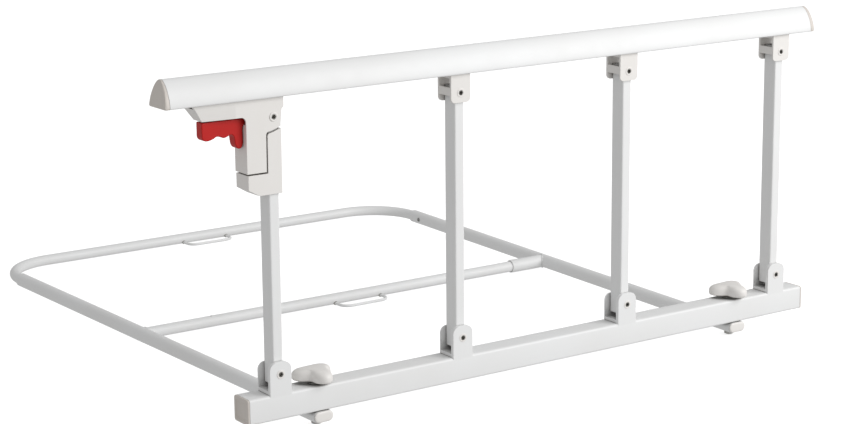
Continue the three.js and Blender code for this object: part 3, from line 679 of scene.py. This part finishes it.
def post(number):
    low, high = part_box(f"post_{number}")
    place = Vector((FOOT_PINS[number - 1].x, MID_Y, low.z))
    width, depth, length = ((high - low)[k] / 2 / MM for k in (0, 1, 2))
    outer = rounded_box(-width, width, -depth, depth, POST_CORNER, 4)
    w, d = width - POST_WALL, depth - POST_WALL
    inner = rounded_box(-w, w, -d, d, POST_CORNER - 1, 4)
    made = tube(f"post_tube_{number}", outer, inner, "Z", 0, 2 * length, place)
    holes = []
    for pin in (FOOT_PINS[number - 1], HEAD_PINS[number - 1]):
        rows = [(POST_BORE, -depth - 1), (POST_BORE, depth + 1)]
        holes.append(lathe("tool", rows, "Y", 24, on_middle(pin)))
    stands_for(smooth(carve(made, *holes)), f"post_{number}")


def ear(name, half, low, reach, corner, y0, y1):
    outline = (
        [(-half, low), (half, low)]
        + arc(half - corner, reach - corner, corner, 0, 90, 10)
        + arc(-half + corner, reach - corner, corner, 90, 180, 10)
    )
    return prism(name, outline, "Y", y0, y1)


def clevis(name, half, front, back, rise, reach, back_reach, corner, web, skirt):
    """A moulded clevis about its pin: two ears, a base, and a web that joins the ears at one side.
    The front ear's skirt runs down over the rounded corner of its rail."""
    low, slot = -rise + TOUCH, CLEVIS_SLOT
    inner, web_low, web_high = web
    made = ear(name, half, low - skirt, reach, corner, FLUSH - front, -slot)
    join(
        made,
        ear("tool", half, low, back_reach, corner, slot, back),
        block(-half, half, -slot - 0.5, slot + 0.5, low, low + CLEVIS_BASE),
        block(inner, half, -slot - 0.5, slot + 0.5, web_low, web_high),
    )
    return carve(made, lathe("tool", [(PIN_BORE, -front - 1), (PIN_BORE, back + 1)], "Y", 32))


def brackets():
    for number, pin in enumerate(FOOT_PINS, 1):
        node = f"foot_bracket_{number}"
        low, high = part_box(node)
        made = clevis(
            f"clevis_foot_{number}", (high.x - low.x) / 2 / MM, (MID_Y - low.y) / MM, (high.y - MID_Y) / MM,
            (pin.z - low.z) / MM + TOUCH, (high.z - pin.z) / MM, BACK_REACH, FOOT_EAR_ROUND, FOOT_WEB, SKIRT,
        )
        made.data.transform(Matrix.Translation(on_middle(pin)))
        stands_for(soften(made, BRACKET_EDGE, 3), node)
    for number, pin in list(enumerate(HEAD_PINS, 1))[1:]:
        node = f"head_bracket_{number}"
        low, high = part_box(node)
        reach = (pin.z - low.z) / MM
        made = clevis(
            f"clevis_head_{number}", (high.x - low.x) / 2 / MM, (high.y - MID_Y) / MM, (MID_Y - low.y) / MM,
            (high.z - pin.z) / MM + TOUCH, reach, reach, HEAD_EAR_ROUND, HEAD_WEB, 0,
        )
        made.data.transform(Matrix.Translation(on_middle(pin)) @ Matrix.Rotation(math.pi, 4, "Y"))
        stands_for(soften(made, BRACKET_EDGE, 3), node)


def pivot(node):
    """A steel pin with a hex socket, in a thin white collar that closes its bore."""
    low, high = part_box(node)
    place = on_middle(middle(node))
    seat, back = (low.y - MID_Y) / MM + PIN_HEAD, (high.y - MID_Y) / MM
    front = seat - PIN_PROUD
    pin = lathe(
        f"{node}_steel",
        [(0, front + 0.35), (PIN_RIM - 0.2, front + 0.35), (PIN_RIM, front + 0.55), (PIN_RIM, seat + 0.4),
         (PIN_RADIUS, seat + 0.4), (PIN_RADIUS, back - 0.5), (PIN_RADIUS - 0.4, back), (0, back)],
        "Y", 40, place,
    )
    socket = prism("tool", circle(2.55, 6), "Y", front - 1, front + 6, place)
    stands_for(smooth(carve(pin, socket)), node)
    collar = lathe(
        f"{node}_collar",
        [(PIN_RIM + 0.1, seat + 0.5), (PIN_RIM + 0.1, front + 0.2), (PIN_RIM + 0.4, front + 0.03),
         (PIN_COVER - 0.9, front), (PIN_COVER - 0.3, front + 0.1), (PIN_COVER, front + 0.35),
         (PIN_COVER, seat + 0.5)],
        "Y", 40, place,
    )
    close_ring(collar)
    finish_with(smooth(collar), "white_plastic", BODY_OF[node])


def close_ring(piece):
    """Makes a ring of a lathed run with two flat ends, by joining its first and last rows."""
    made = bmesh.new()
    made.from_mesh(piece.data)
    caps = [f for f in made.faces if len(f.verts) > 4]
    loops = [e for f in caps for e in f.edges]
    bmesh.ops.delete(made, geom=caps, context="FACES_ONLY")
    bmesh.ops.bridge_loops(made, edges=loops)
    bmesh.ops.recalc_face_normals(made, faces=made.faces)
    made.to_mesh(piece.data)
    made.free()


# ---------------- latch, about head pin 1


def latch_place():
    return on_middle(HEAD_PINS[0])


def latch_housing():
    """The housing: a tapered nose over the trigger, and a leg that the bolt runs down."""
    place = latch_place()
    leg = (
        [(NOSE_ROOT, ROOF), (NOSE_ROOT, LIP), (LEG_LEFT - LEG_FILLET, LIP)]
        + arc(LEG_LEFT - LEG_FILLET, LIP - LEG_FILLET, LEG_FILLET, 90, 0, 8)[1:]
        + [(LEG_LEFT, LEG_BOTTOM), (LEG_RIGHT, LEG_BOTTOM), (-9.8, -19.4)]
        + curve((-9.8, -19.4), (-9.5, -16.4), (-7.2, -15.9), 5)
        + [(-1.7, -14.7), (8.6, -11.0), (10.2, 6.0)]
        + curve((10.2, 6.0), (10.6, 9.4), (13.0, 9.7), 4)
        + [(13.0, ROOF)]
    )
    made = prism("latch_shell", leg, "Y", -LATCH_HALF, LATCH_HALF, place)
    join(made, nose(0, place))
    inside = LATCH_HALF - LATCH_WALL
    leg_left, leg_right, leg_floor = LEG_LEFT + LATCH_WALL, LEG_RIGHT - LATCH_WALL, LEG_BOTTOM + LATCH_WALL
    carve(
        made,
        block(leg_left, leg_right, -inside, inside, leg_floor, CEILING, place),
        # the way from the leg to the nose, and the fork over the post's head
        block(-40, -11, -inside, inside, -6, CEILING, place),
        block(-11.5, 20, -inside, inside, -30, CEILING, place),
        nose(LATCH_WALL, place),
        # the slot in the nose's free end, the trigger's window and the tongue's
        block(-112, -60, -8.8, 8.8, 17.9, 23, place),
        block(-37, -31, -7.2, 7.2, -8.2, LIP + 2, place),
        block(TONGUE_LEFT - 0.5, TONGUE_RIGHT + 0.5, -5.2, 5.2, LEG_BOTTOM - 1.1, leg_floor + 1.2, place),
        lathe("tool", [(PIN_BORE, -20), (PIN_BORE, 20)], "Y", 32, place),
    )
    stands_for(soften(made, LATCH_EDGE, 3), "latch_housing")


def nose(inset, place):
    """The part of the housing over the trigger. Its free end is narrower at the lower edge.
    Inset, it is the hollow inside."""
    deep = LATCH_HALF - inset
    roof, lip = (ROOF, LIP) if inset == 0 else (CEILING, LIP - 1)
    shoulder = min(NOSE_SHOULDER, roof - 0.5)
    ends = [(NOSE_LEFT + 1.6 * inset, NOSE_LOW_LEFT + 0.8 * inset, NOSE_FOOT - 0.5 * inset)]
    if inset == 0:
        ends += [(NOSE_ROOT, NOSE_ROOT, deep), (NOSE_ROOT + 2, NOSE_ROOT + 2, deep)]
    else:
        ends += [(NOSE_ROOT + 9, NOSE_ROOT + 9, deep)]
    rings = []
    for x_top, x_low, low in ends:
        x = x_top + (x_low - x_top) * (roof - shoulder) / (roof - lip)
        rings.append([
            (x_low, -low, lip), (x_low, low, lip), (x, deep, shoulder),
            (x_top, deep, roof), (x_top, -deep, roof), (x, -deep, shoulder),
        ])
    return loft("tool", rings, place)


def latch_socket():
    """The socket clamped round the post, with the pocket that the bolt drops into."""
    place = latch_place()
    outline = (
        [(SOCKET_RIGHT, SOCKET_BOTTOM), (SOCKET_RIGHT, -13.4), (-1.2, -16.7), (-5.6, -17.7)]
        + curve((-5.6, -17.7), (-8.0, -18.4), (-8.2, -21.0), 5)
        + [(-8.4, SOCKET_TOP), (SOCKET_LEFT, SOCKET_TOP)]
        + [(SOCKET_LEFT, SOCKET_BOTTOM + 7.8), (SOCKET_LEFT + 13.2, SOCKET_BOTTOM)]
    )
    made = prism("latch_keeper", outline, "Y", -SOCKET_HALF, SOCKET_HALF, place)
    carve(
        made,
        # the post's passage, the tongue's pocket and the screw's hole
        block(-6.8, 6.8, -10.8, 10.8, SOCKET_BOTTOM - 3.8, 0, place),
        block(TONGUE_LEFT - 1.5, TONGUE_RIGHT + 1.9, -6, 6, -76, -60, place),
        lathe("tool", [(2.3, 0), (2.3, 15)], "Y", 24, place + Z * SOCKET_SCREW_Z * MM),
    )
    stands_for(soften(made, LATCH_EDGE, 3), "latch_socket")


def trigger():
    """The finger trigger, scalloped for two fingers, with a curled end beside the leg."""
    place = latch_place()
    stem = LEG_LEFT - 0.4
    outline = [(GRIP_LEFT, GRIP_TOP), (GRIP_LEFT, -14.0)]
    outline += curve((GRIP_LEFT, -14.0), (-84.8, -19.4), (-78.4, -19.4), 8)
    outline += curve((-78.4, -19.4), (-72.0, -18.8), (-68.0, -15.8), 8)
    outline += curve((-68.0, -15.8), (-64.0, -15.2), (-59.0, -18.0), 8)
    outline += curve((-59.0, -18.0), (-55.0, -18.2), (-51.0, -15.4), 8)
    outline += curve((-51.0, -15.4), (-47.0, -14.6), (-45.6, -19.0), 8)
    outline += [(-44.6, -26.5)]
    outline += curve((-44.6, -26.5), (-43.0, -32.0), (-39.4, -32.0), 8)
    outline += curve((-39.4, -32.0), (-35.2, -32.0), (stem, -25.0), 8)
    outline += [(stem, TAB_BOTTOM), (-17.5, TAB_BOTTOM), (-17.5, GRIP_TOP)]
    made = prism("trigger_grip", outline, "Y", -TRIGGER_HALF, TRIGGER_HALF, place)
    stands_for(soften(made, TRIGGER_EDGE, 4), "trigger")


def latch_bolt():
    """The tongue under the trigger's tab, with a bevelled tip."""
    top = TAB_BOTTOM - TOUCH
    outline = [
        (TONGUE_LEFT, top), (TONGUE_LEFT, TONGUE_TIP + TONGUE_BEVEL),
        (TONGUE_LEFT + TONGUE_BEVEL, TONGUE_TIP), (TONGUE_RIGHT, TONGUE_TIP), (TONGUE_RIGHT, top),
    ]
    made = prism("latch_tongue", outline, "Y", -TONGUE_HALF, TONGUE_HALF, latch_place())
    stands_for(soften(made, TONGUE_EDGE, 2), "latch_bolt")


def latch_spring():
    """A coil with closed ends, drawn at one length; in use the trigger squeezes it towards the housing's roof
    as it lifts.
    """
    low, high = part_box("latch_spring")
    centre = (low + high) / 2
    radius, wire, turns, steps = 4.6, 0.75, 5.5, 28
    height = (high.z - low.z) / MM - 2 * wire
    rings = []
    total = int(turns * steps)
    for i in range(total + 1):
        angle = 2 * math.pi * i / steps
        t = i / total
        rise = height * (t - 0.09 * math.sin(2 * math.pi * t))
        out, level = Vector((math.cos(angle), math.sin(angle), 0)), Vector((0, 0, rise - height / 2))
        rings.append([tuple(out * (radius + a) + level + Z * b) for a, b in circle(wire, 10)])
    made = smooth(loft("latch_coil", rings, centre), 60)
    stands_for(made, "latch_spring")
    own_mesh(made)


def screw(node, axis, sign):
    """A pan-head screw with a cross recess; sign says which way its head faces along the axis."""
    low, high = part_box(node)
    centre = (low + high) / 2
    k = "XYZ".index(axis)
    head, tip = (high[k], low[k]) if sign > 0 else (low[k], high[k])
    place = Vector(centre)
    place[k] = head
    length = abs(head - tip) / MM
    rows = [(0, 0), (2.6, 0.05), (3.7, 0.45), (4.15, 1.2), (4.2, 2.15)]
    rows += [(2.0, 2.2), (2.0, length - 0.8), (1.2, length), (0, length)]
    made = lathe(f"{node}_steel", [(r, -sign * t) for r, t in rows], axis, 28, place)
    for a, b in ((2.2, 0.45), (0.45, 2.2)):
        bar = along_axis([(-a, -b), (a, -b), (a, b), (-a, b)], axis, sign * 0.5)
        foot = along_axis([(-a * 0.8, -b), (a * 0.8, -b), (a * 0.8, b), (-a * 0.8, b)], axis, -sign * 1.3)
        carve(made, loft("tool", [bar, foot], place))
    stands_for(smooth(made), node)


# ---------------- under-mattress frame


def arm(side):
    """A tube whose front end is pressed flat under the bottom rail."""
    low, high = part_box(f"arm_{side}")
    start, along = arm_axis(side)
    across = Vector((along.y, -along.x, 0))
    flat_z = RAIL_LOW.z / MM - FLAT_HALF_HEIGHT - TOUCH
    sides, tube_z = 40, TUBE_Z / MM
    stations = [0] + [FLAT_LENGTH + FLARE_LENGTH * i / 10 for i in range(11)] + [(high.y - low.y) / MM]
    outer, inner = [], []
    for s in stations:
        t = min(1, max(0, (s - FLAT_LENGTH) / FLARE_LENGTH))
        rounded = t * t * (3 - 2 * t)
        for rings, radius, wall in ((outer, ARM_RADIUS, 0), (inner, ARM_BORE, FLAT_WALL)):
            ring = []
            for a, b in circle(1, sides):
                flat_up = max(-1, min(1, 1.35 * b)) * (FLAT_HALF_HEIGHT - wall)
                side_way = a * (FLAT_HALF_WIDTH - wall) * (1 - rounded) + a * radius * rounded
                up = (flat_z + flat_up) * (1 - rounded) + (tube_z + b * radius) * rounded
                base = arm_at(side, low.y + s * MM, 0) / MM
                ring.append(tuple(base + across * side_way + Z * up))
            rings.append(ring)
    made = hollow(f"arm_tube_{side}", outer, inner)
    bolt = lathe("tool", [(BOLT_HOLE, -30), (BOLT_HOLE, 30)], "Z", 32, (start.x, start.y, TUBE_Z))
    stands_for(smooth(carve(made, bolt, button_bore(side, 0.5))), f"arm_{side}")


def button_bore(side, play):
    """A tool for the hole of a snap button, from an arm's axis out through its inner side."""
    inward = 20 if side == "left" else -20
    rows = [(BUTTON_RADIUS + play, 0), (BUTTON_RADIUS + play, inward)]
    return lathe("tool", rows, "X", 28, arm_at(side, middle(f"snap_button_{side}").y))


def arm_plug(side):
    low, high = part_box(f"arm_plug_{side}")
    _, along = arm_axis(side)
    centre = arm_at(side, low.y, (low.z + high.z) / 2)
    half, rise = 12.5, (high.z - low.z) / 2 / MM
    face = rounded_box(-half, half, -rise, rise, rise - 0.3, 10)
    stem = rounded_box(-9.0, 9.0, -3.3, 3.3, 1.5, 10)
    steps = [
        (0.0, shrink(face, 3.0)), (0.1, shrink(face, 1.6)), (0.4, shrink(face, 0.7)),
        (0.9, shrink(face, 0.15)), (1.4, face), (2.0, face),
        (2.0, stem), (9.2, stem), (9.7, shrink(stem, 0.5)),
    ]
    made = loft(f"plug_{side}", [along_axis(s, "Y", t) for t, s in steps])
    turn = Matrix.Rotation(math.atan2(-along.x, along.y), 4, "Z")
    made.data.transform(Matrix.Translation(centre) @ turn)
    stands_for(smooth(made, 40), f"arm_plug_{side}")


def far_bow():
    low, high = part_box("far_bow")
    y = high.y - BAR_RADIUS * MM
    a, d = (arm_at(s, low.y) / MM for s in SIDES)
    b, c = (arm_at(s, y) / MM for s in SIDES)
    line = [a, *bend(a, b, c, BOW_BEND, 20), *bend(b, c, d, BOW_BEND, 20), d]
    outer, inner = (along_path(line, circle(radius, 32)) for radius in (BAR_RADIUS, BAR_BORE))
    made = hollow("bow_tube", outer, inner)
    stands_for(smooth(carve(made, *(button_bore(s, 0.4) for s in SIDES))), "far_bow")


def snap_button(side):
    """A domed button whose flange is held inside the bow."""
    low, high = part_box(f"snap_button_{side}")
    centre = middle(f"snap_button_{side}")
    length, full = (high.x - low.x) / MM, BUTTON_RADIUS
    inward, root = (1, low.x) if side == "left" else (-1, high.x)
    rows = [
        (0, length), (0.4 * full, length - 0.12), (0.75 * full, length - 0.5), (0.94 * full, length - 1.1),
        (full, length - 1.9), (full, 2.1), (full + 0.8, 2.0), (full + 0.8, 0.2), (full + 0.6, 0), (0, 0),
    ]
    made = lathe(f"button_{side}", [(r, inward * t) for r, t in rows], "X", 32, (root, centre.y, centre.z))
    stands_for(smooth(made), f"snap_button_{side}")


def cope(made, side, y):
    """Cuts a tube's end to the round of the arm that it meets."""
    _, along = arm_axis(side)
    tool = lathe("tool", [(ARM_RADIUS + CLOSE_GAP, -40), (ARM_RADIUS + CLOSE_GAP, 40)], "Y", 48)
    turn = Matrix.Rotation(math.atan2(-along.x, along.y), 4, "Z")
    tool.data.transform(Matrix.Translation(arm_at(side, y)) @ turn)
    return carve(made, tool)


def cross_bar():
    """A bar coped and welded to the left arm, with a small drain hole in its top."""
    low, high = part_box("cross_bar")
    y = (low.y + high.y) / 2
    root = arm_at("left", y).x / MM
    outer, inner = circle(BAR_RADIUS, 36), circle(BAR_BORE, 36)
    made = tube("cross_tube", outer, inner, "X", root, high.x / MM, (0, y, TUBE_Z))
    spot = (low.x + DRAIN_X * MM, y, TUBE_Z)
    drain = lathe("tool", [(DRAIN_RADIUS, 0), (DRAIN_RADIUS, 20)], "Z", 20, spot)
    stands_for(smooth(carve(cope(made, "left", y), drain)), "cross_bar")
    weld_bead("bar_weld", "left", y, BAR_RADIUS, -1)


def cross_sleeve():
    """A stub of tube coped to the right arm, its mouth rolled slightly inwards."""
    low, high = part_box("cross_sleeve")
    y = (low.y + high.y) / 2
    root, tip = arm_at("right", y).x / MM, low.x / MM
    steps = [(root, 0), (tip + 1.2, 0), (tip + 0.35, -0.3), (tip, -0.9)]
    outer = [along_axis(circle(SLEEVE_RADIUS + d, 40), "X", x) for x, d in steps]
    inner = [along_axis(circle(SLEEVE_BORE, 40), "X", x) for x, _ in steps]
    made = hollow("sleeve", outer, inner, (0, y, TUBE_Z))
    stands_for(smooth(cope(made, "right", y)), "cross_sleeve")
    weld_bead("sleeve_weld", "right", y, SLEEVE_RADIUS, 1)


def weld_bead(name, side, y, radius, outward):
    """A fillet weld round the saddle where a tube meets its arm."""
    steps, around, bead = 72, 10, 1.1
    centre = arm_at(side, y)
    away = Vector((-outward, 0, 0))
    rings = []
    for i in range(steps):
        angle = 2 * math.pi * i / steps
        up, back = (radius + 0.3) * math.sin(angle), (radius + 0.3) * math.cos(angle)
        reach = math.sqrt(max(0.0, (ARM_RADIUS + 0.4) ** 2 - up * up))
        middle_point = Vector((-outward * reach, back, up))
        radial = Vector((0, math.cos(angle), math.sin(angle)))
        swell = bead * (1 + 0.12 * math.sin(9 * angle))
        ring = []
        for k in range(around):
            a = 2 * math.pi * k / around
            ring.append(tuple(middle_point + radial * swell * math.cos(a) + away * swell * math.sin(a)))
        rings.append(ring)
    points = [p for ring in rings for p in ring]
    faces = []
    for i in range(steps):
        faces += bridge(i * around, ((i + 1) % steps) * around, around)
    finish_with(smooth(mesh_object(name, points, faces, centre), 80), "white_paint", "base_frame")


def strap_loop(node, bar_y):
    """A wire loop welded to the front of a bar."""
    low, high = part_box(node)
    x, z = (low.x + high.x) / 2, (low.z + high.z) / 2
    half, reach = (high.x - low.x) / 2 / MM - LOOP_WIRE, (bar_y - low.y) / MM - LOOP_WIRE
    corners = ((-half, -3.5), (-half, -reach), (half, -reach), (half, -3.5))
    a, b, c, d = (Vector((*p, 0)) for p in corners)
    line = [a, *bend(a, b, c, LOOP_BEND, 12), *bend(b, c, d, LOOP_BEND, 12), d]
    made = loft(f"{node}_wire", along_path(line, circle(LOOP_WIRE, 20)), (x, bar_y, z))
    rows = [(BAR_RADIUS + CLOSE_GAP, -70), (BAR_RADIUS + CLOSE_GAP, 70)]
    bar = lathe("tool", rows, "X", 48, (x, bar_y, TUBE_Z))
    stands_for(smooth(carve(made, bar)), node)
    root = math.sqrt(BAR_RADIUS ** 2 - ((TUBE_Z - z) / MM) ** 2) + 0.5
    # The weld beads are real shapes, but their dark steel finish is painted shade for the shadow where the wire
    # meets the bar.
    for name, across in (("a", -half), ("b", half)):
        angles = [math.pi * i / 10 for i in range(1, 10)]
        rows = [(LOOP_WELD * math.sin(a), -LOOP_WELD * math.cos(a)) for a in angles]
        rows = [(0, -LOOP_WELD), *rows, (0, LOOP_WELD)]
        weld = lathe(f"{node}_weld_{name}", rows, "Y", 20, (x + across * MM, bar_y - root * MM, z))
        finish_with(smooth(weld, 80), "zinc_steel", "base_frame")


# ---------------- clamps


def hand_knob(side):
    """A three-lobed knob with a domed top: its lobes fade into the dome, and a hub is below."""
    low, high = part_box(f"hand_knob_{side}")
    centre = middle(f"clamp_bolt_{side}")
    place = (centre.x, centre.y, low.z)
    sides, tall = 96, (high.z - low.z) / MM
    turn = math.radians(KNOB_TURN)

    def ring(scale, inset, height, lobes=1.0):
        out = []
        for i in range(sides):
            angle = 2 * math.pi * i / sides
            radius = scale * (KNOB_MEAN + lobes * KNOB_LOBE * math.cos(3 * (angle - turn))) - inset
            out.append((radius * math.cos(angle), radius * math.sin(angle), height))
        return out

    foot = KNOB_FOOT
    rows = [
        ring(0.19, 0, 0.9, 0), ring(0.19, 0, 0.0, 0), ring(0.35, 0, 0.0, 0), ring(0.38, 0, 0.4, 0),
        ring(0.39, 0, foot - 0.5, 0), ring(0.44, 0, foot, 0.3), ring(0.8, 0, foot, 0.9),
        ring(1, 2.6, foot + 0.1), ring(1, 1.3, foot + 0.6), ring(1, 0.45, foot + 1.6),
        ring(1, 0.0, foot + 3.0),
        ring(1, 0.1, tall - 7.2, 0.98), ring(1, 0.6, tall - 5.2, 0.94), ring(1, 1.7, tall - 3.6, 0.88),
        ring(1, 3.4, tall - 2.3, 0.8), ring(0.8, 1.2, tall - 1.3, 0.7), ring(0.66, 0, tall - 0.7, 0.5),
        ring(0.5, 0, tall - 0.3, 0.3), ring(0.3, 0, tall - 0.1, 0.1), ring(0.1, 0, tall, 0), [(0, 0, tall)],
    ]
    bore = lathe("tool", [(BOLT_RADIUS + CLOSE_GAP, -1), (BOLT_RADIUS + CLOSE_GAP, BOLT_REACH)], "Z", 32, place)
    made = carve(loft(f"knob_{side}", rows, place), bore)
    stands_for(smooth(made, 50), f"hand_knob_{side}")


def clamp_bolt(side):
    """A bolt with a rolled thread below the rail and a chamfered tip."""
    low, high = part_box(f"clamp_bolt_{side}")
    centre = middle(f"clamp_bolt_{side}")
    length = (high.z - low.z) / MM
    sides, per_pitch = 28, 6
    rows = int(BOLT_THREAD / THREAD_PITCH * per_pitch)
    rings = [[(0, 0, 0)]]
    for i in range(rows + 1):
        z = BOLT_THREAD * i / rows
        ring = []
        for k in range(sides):
            turn = k / sides
            wave = abs(((z / THREAD_PITCH - turn) % 1) - 0.5) * 2
            radius = min(BOLT_RADIUS - THREAD_DEPTH * (1 - wave), BOLT_RADIUS - 0.9 + z)
            if i == rows:
                radius = BOLT_RADIUS - 0.05
            ring.append((radius * math.cos(2 * math.pi * turn), radius * math.sin(2 * math.pi * turn), z))
        rings.append(ring)
    rings.append([(*p, length) for p in circle(BOLT_RADIUS - 0.05, sides)])
    made = loft(f"bolt_{side}", rings, (centre.x, centre.y, low.z))
    stands_for(smooth(made, 50), f"clamp_bolt_{side}")


def washer(side):
    low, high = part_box(f"knob_washer_{side}")
    centre = middle(f"clamp_bolt_{side}")
    height, radius = (high.z - low.z) / MM, (high.x - low.x) / 2 / MM
    bore = NUT_BORE
    rows = [
        (bore, 0.1), (bore + 0.1, 0), (radius - 0.3, 0), (radius, 0.3), (radius, height - 0.3),
        (radius - 0.3, height), (bore + 0.1, height), (bore, height - 0.1),
    ]
    made = lathe(f"washer_{side}", rows, "Z", 40, (centre.x, centre.y, low.z))
    close_ring(made)
    stands_for(smooth(made), f"knob_washer_{side}")


def nut(side):
    """A hexagon nut with its corners turned off on both faces."""
    low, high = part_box(f"clamp_nut_{side}")
    centre = middle(f"clamp_bolt_{side}")
    height = (high.z - low.z) / MM
    place = (centre.x, centre.y, low.z)
    made = prism(f"nut_{side}", circle(NUT_RADIUS, 6, math.pi / 6), "Z", 0, height, place)
    face, wide = 0.85 * NUT_RADIUS, NUT_RADIUS + 0.1
    rows = [(0, 0), (face, 0), (wide, 0.6), (wide, height - 0.6), (face, height), (0, height)]
    boolean(made, [lathe("tool", rows, "Z", 48, place)], "INTERSECT")
    carve(made, lathe("tool", [(NUT_BORE, -1), (NUT_BORE, height + 1)], "Z", 32, place))
    stands_for(smooth(made, 25), f"clamp_nut_{side}")


# ---------------- build

bottom_rail()
handrail()
for side, inward in (("left", 1), ("right", -1)):
    bottom_cap(side, inward)
    handrail_cap(side, inward)
for number in (1, 2, 3, 4):
    post(number)
    pivot(f"foot_pin_{number}")
    pivot(f"head_pin_{number}")
brackets()
latch_housing()
latch_socket()
trigger()
latch_bolt()
latch_spring()
screw("housing_screw_1", "Z", -1)
screw("housing_screw_2", "Z", -1)
screw("socket_screw", "Y", 1)
for side in SIDES:
    arm(side)
    arm_plug(side)
    snap_button(side)
    hand_knob(side)
    clamp_bolt(side)
    washer(side)
    nut(side)
far_bow()
cross_bar()
cross_sleeve()
strap_loop("strap_loop_far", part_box("far_bow")[1].y - BAR_RADIUS * MM)
strap_loop("strap_loop_middle", middle("cross_bar").y)

# ---------------- stage


def stage_material(name, colour, glow):
    material = bpy.data.materials.new(name)
    material.use_nodes = True
    shader = material.node_tree.nodes["Principled BSDF"]
    shader.inputs["Base Color"].default_value = (*colour, 1)
    shader.inputs["Roughness"].default_value = 0.9
    shader.inputs["Emission Color"].default_value = (1, 1, 1, 1)
    shader.inputs["Emission Strength"].default_value = glow
    return material


def stage():
    """A pale floor and a pale shell round it. Neither throws light back on to the object."""
    size, drop, shell_radius = 40000.0, 0.0004, 38  # the first in millimetres, the others in metres
    floor = block(-size, size, -size, size, -20, 0, (0, 0, CAD_BOX[0].z - drop))
    floor.name = "floor"
    floor.data.materials.append(stage_material("floor_white", (0.9, 0.9, 0.9), 0.62))
    shell = bpy.data.meshes.new("shell")
    made = bmesh.new()
    bmesh.ops.create_icosphere(made, subdivisions=4, radius=shell_radius)
    made.to_mesh(shell)
    made.free()
    shell = bpy.data.objects.new("shell", shell)
    bpy.context.scene.collection.objects.link(shell)
    shell.data.materials.append(stage_material("shell_white", (0, 0, 0), 1.1))
    for piece in (floor, shell):
        piece.visible_diffuse = False
        piece.visible_glossy = False
        piece.visible_transmission = False
        piece.visible_shadow = False


AMBIENT = 0.5
KEY_DIRECTION = (0.45, -0.79, 0.40)
KEY_DISTANCE = 3.2  # metres
KEY_SIZE = 2.2
KEY_WATTS = 58


def lights():
    """An even sky, and a square soft light that looks at the object's middle."""
    world = bpy.data.worlds.new("studio")
    world.use_nodes = True
    sky = world.node_tree.nodes["Background"].inputs
    sky["Color"].default_value = (1, 1, 1, 1)
    sky["Strength"].default_value = AMBIENT
    bpy.context.scene.world = world
    data = bpy.data.lights.new("key", "AREA")
    data.shape, data.size, data.energy = "SQUARE", KEY_SIZE, KEY_WATTS
    light = bpy.data.objects.new("key", data)
    bpy.context.scene.collection.objects.link(light)
    away = Vector(KEY_DIRECTION).normalized()
    light.location = (CAD_BOX[0] + CAD_BOX[1]) / 2 + away * KEY_DISTANCE
    light.rotation_mode = "QUATERNION"
    light.rotation_quaternion = away.to_track_quat("Z", "Y")


# The camera looks at a point from a distance, an azimuth and an elevation; angles in degrees.
CAMERA_AIM = on_middle(FOOT_PINS[0]) + Vector((0.42895, 0.33515, 0.0627))
CAMERA_DISTANCE = 3.0
CAMERA_AZIMUTH = -34.15
CAMERA_ELEVATION = 13.0
CAMERA_ROLL = -0.54
CAMERA_LENS = 95.45


def camera():
    data = bpy.data.cameras.new("camera")
    data.lens, data.sensor_width = CAMERA_LENS, 36.0
    data.clip_start, data.clip_end = 0.05, 200
    seat = bpy.data.objects.new("camera", data)
    bpy.context.scene.collection.objects.link(seat)
    a, e = math.radians(CAMERA_AZIMUTH), math.radians(CAMERA_ELEVATION)
    ahead = Vector((-math.sin(a) * math.cos(e), math.cos(a) * math.cos(e), -math.sin(e)))
    right = Vector((math.cos(a), math.sin(a), 0))
    up = right.cross(ahead)
    roll = math.radians(CAMERA_ROLL)
    across = right * math.cos(roll) + up * math.sin(roll)
    upright = up * math.cos(roll) - right * math.sin(roll)
    turn = Matrix((across, upright, -ahead)).transposed().to_4x4()
    seat.matrix_world = Matrix.Translation(CAMERA_AIM - ahead * CAMERA_DISTANCE) @ turn
    bpy.context.scene.camera = seat


stage()
lights()
camera()
bpy.context.scene.view_settings.view_transform = "Standard"
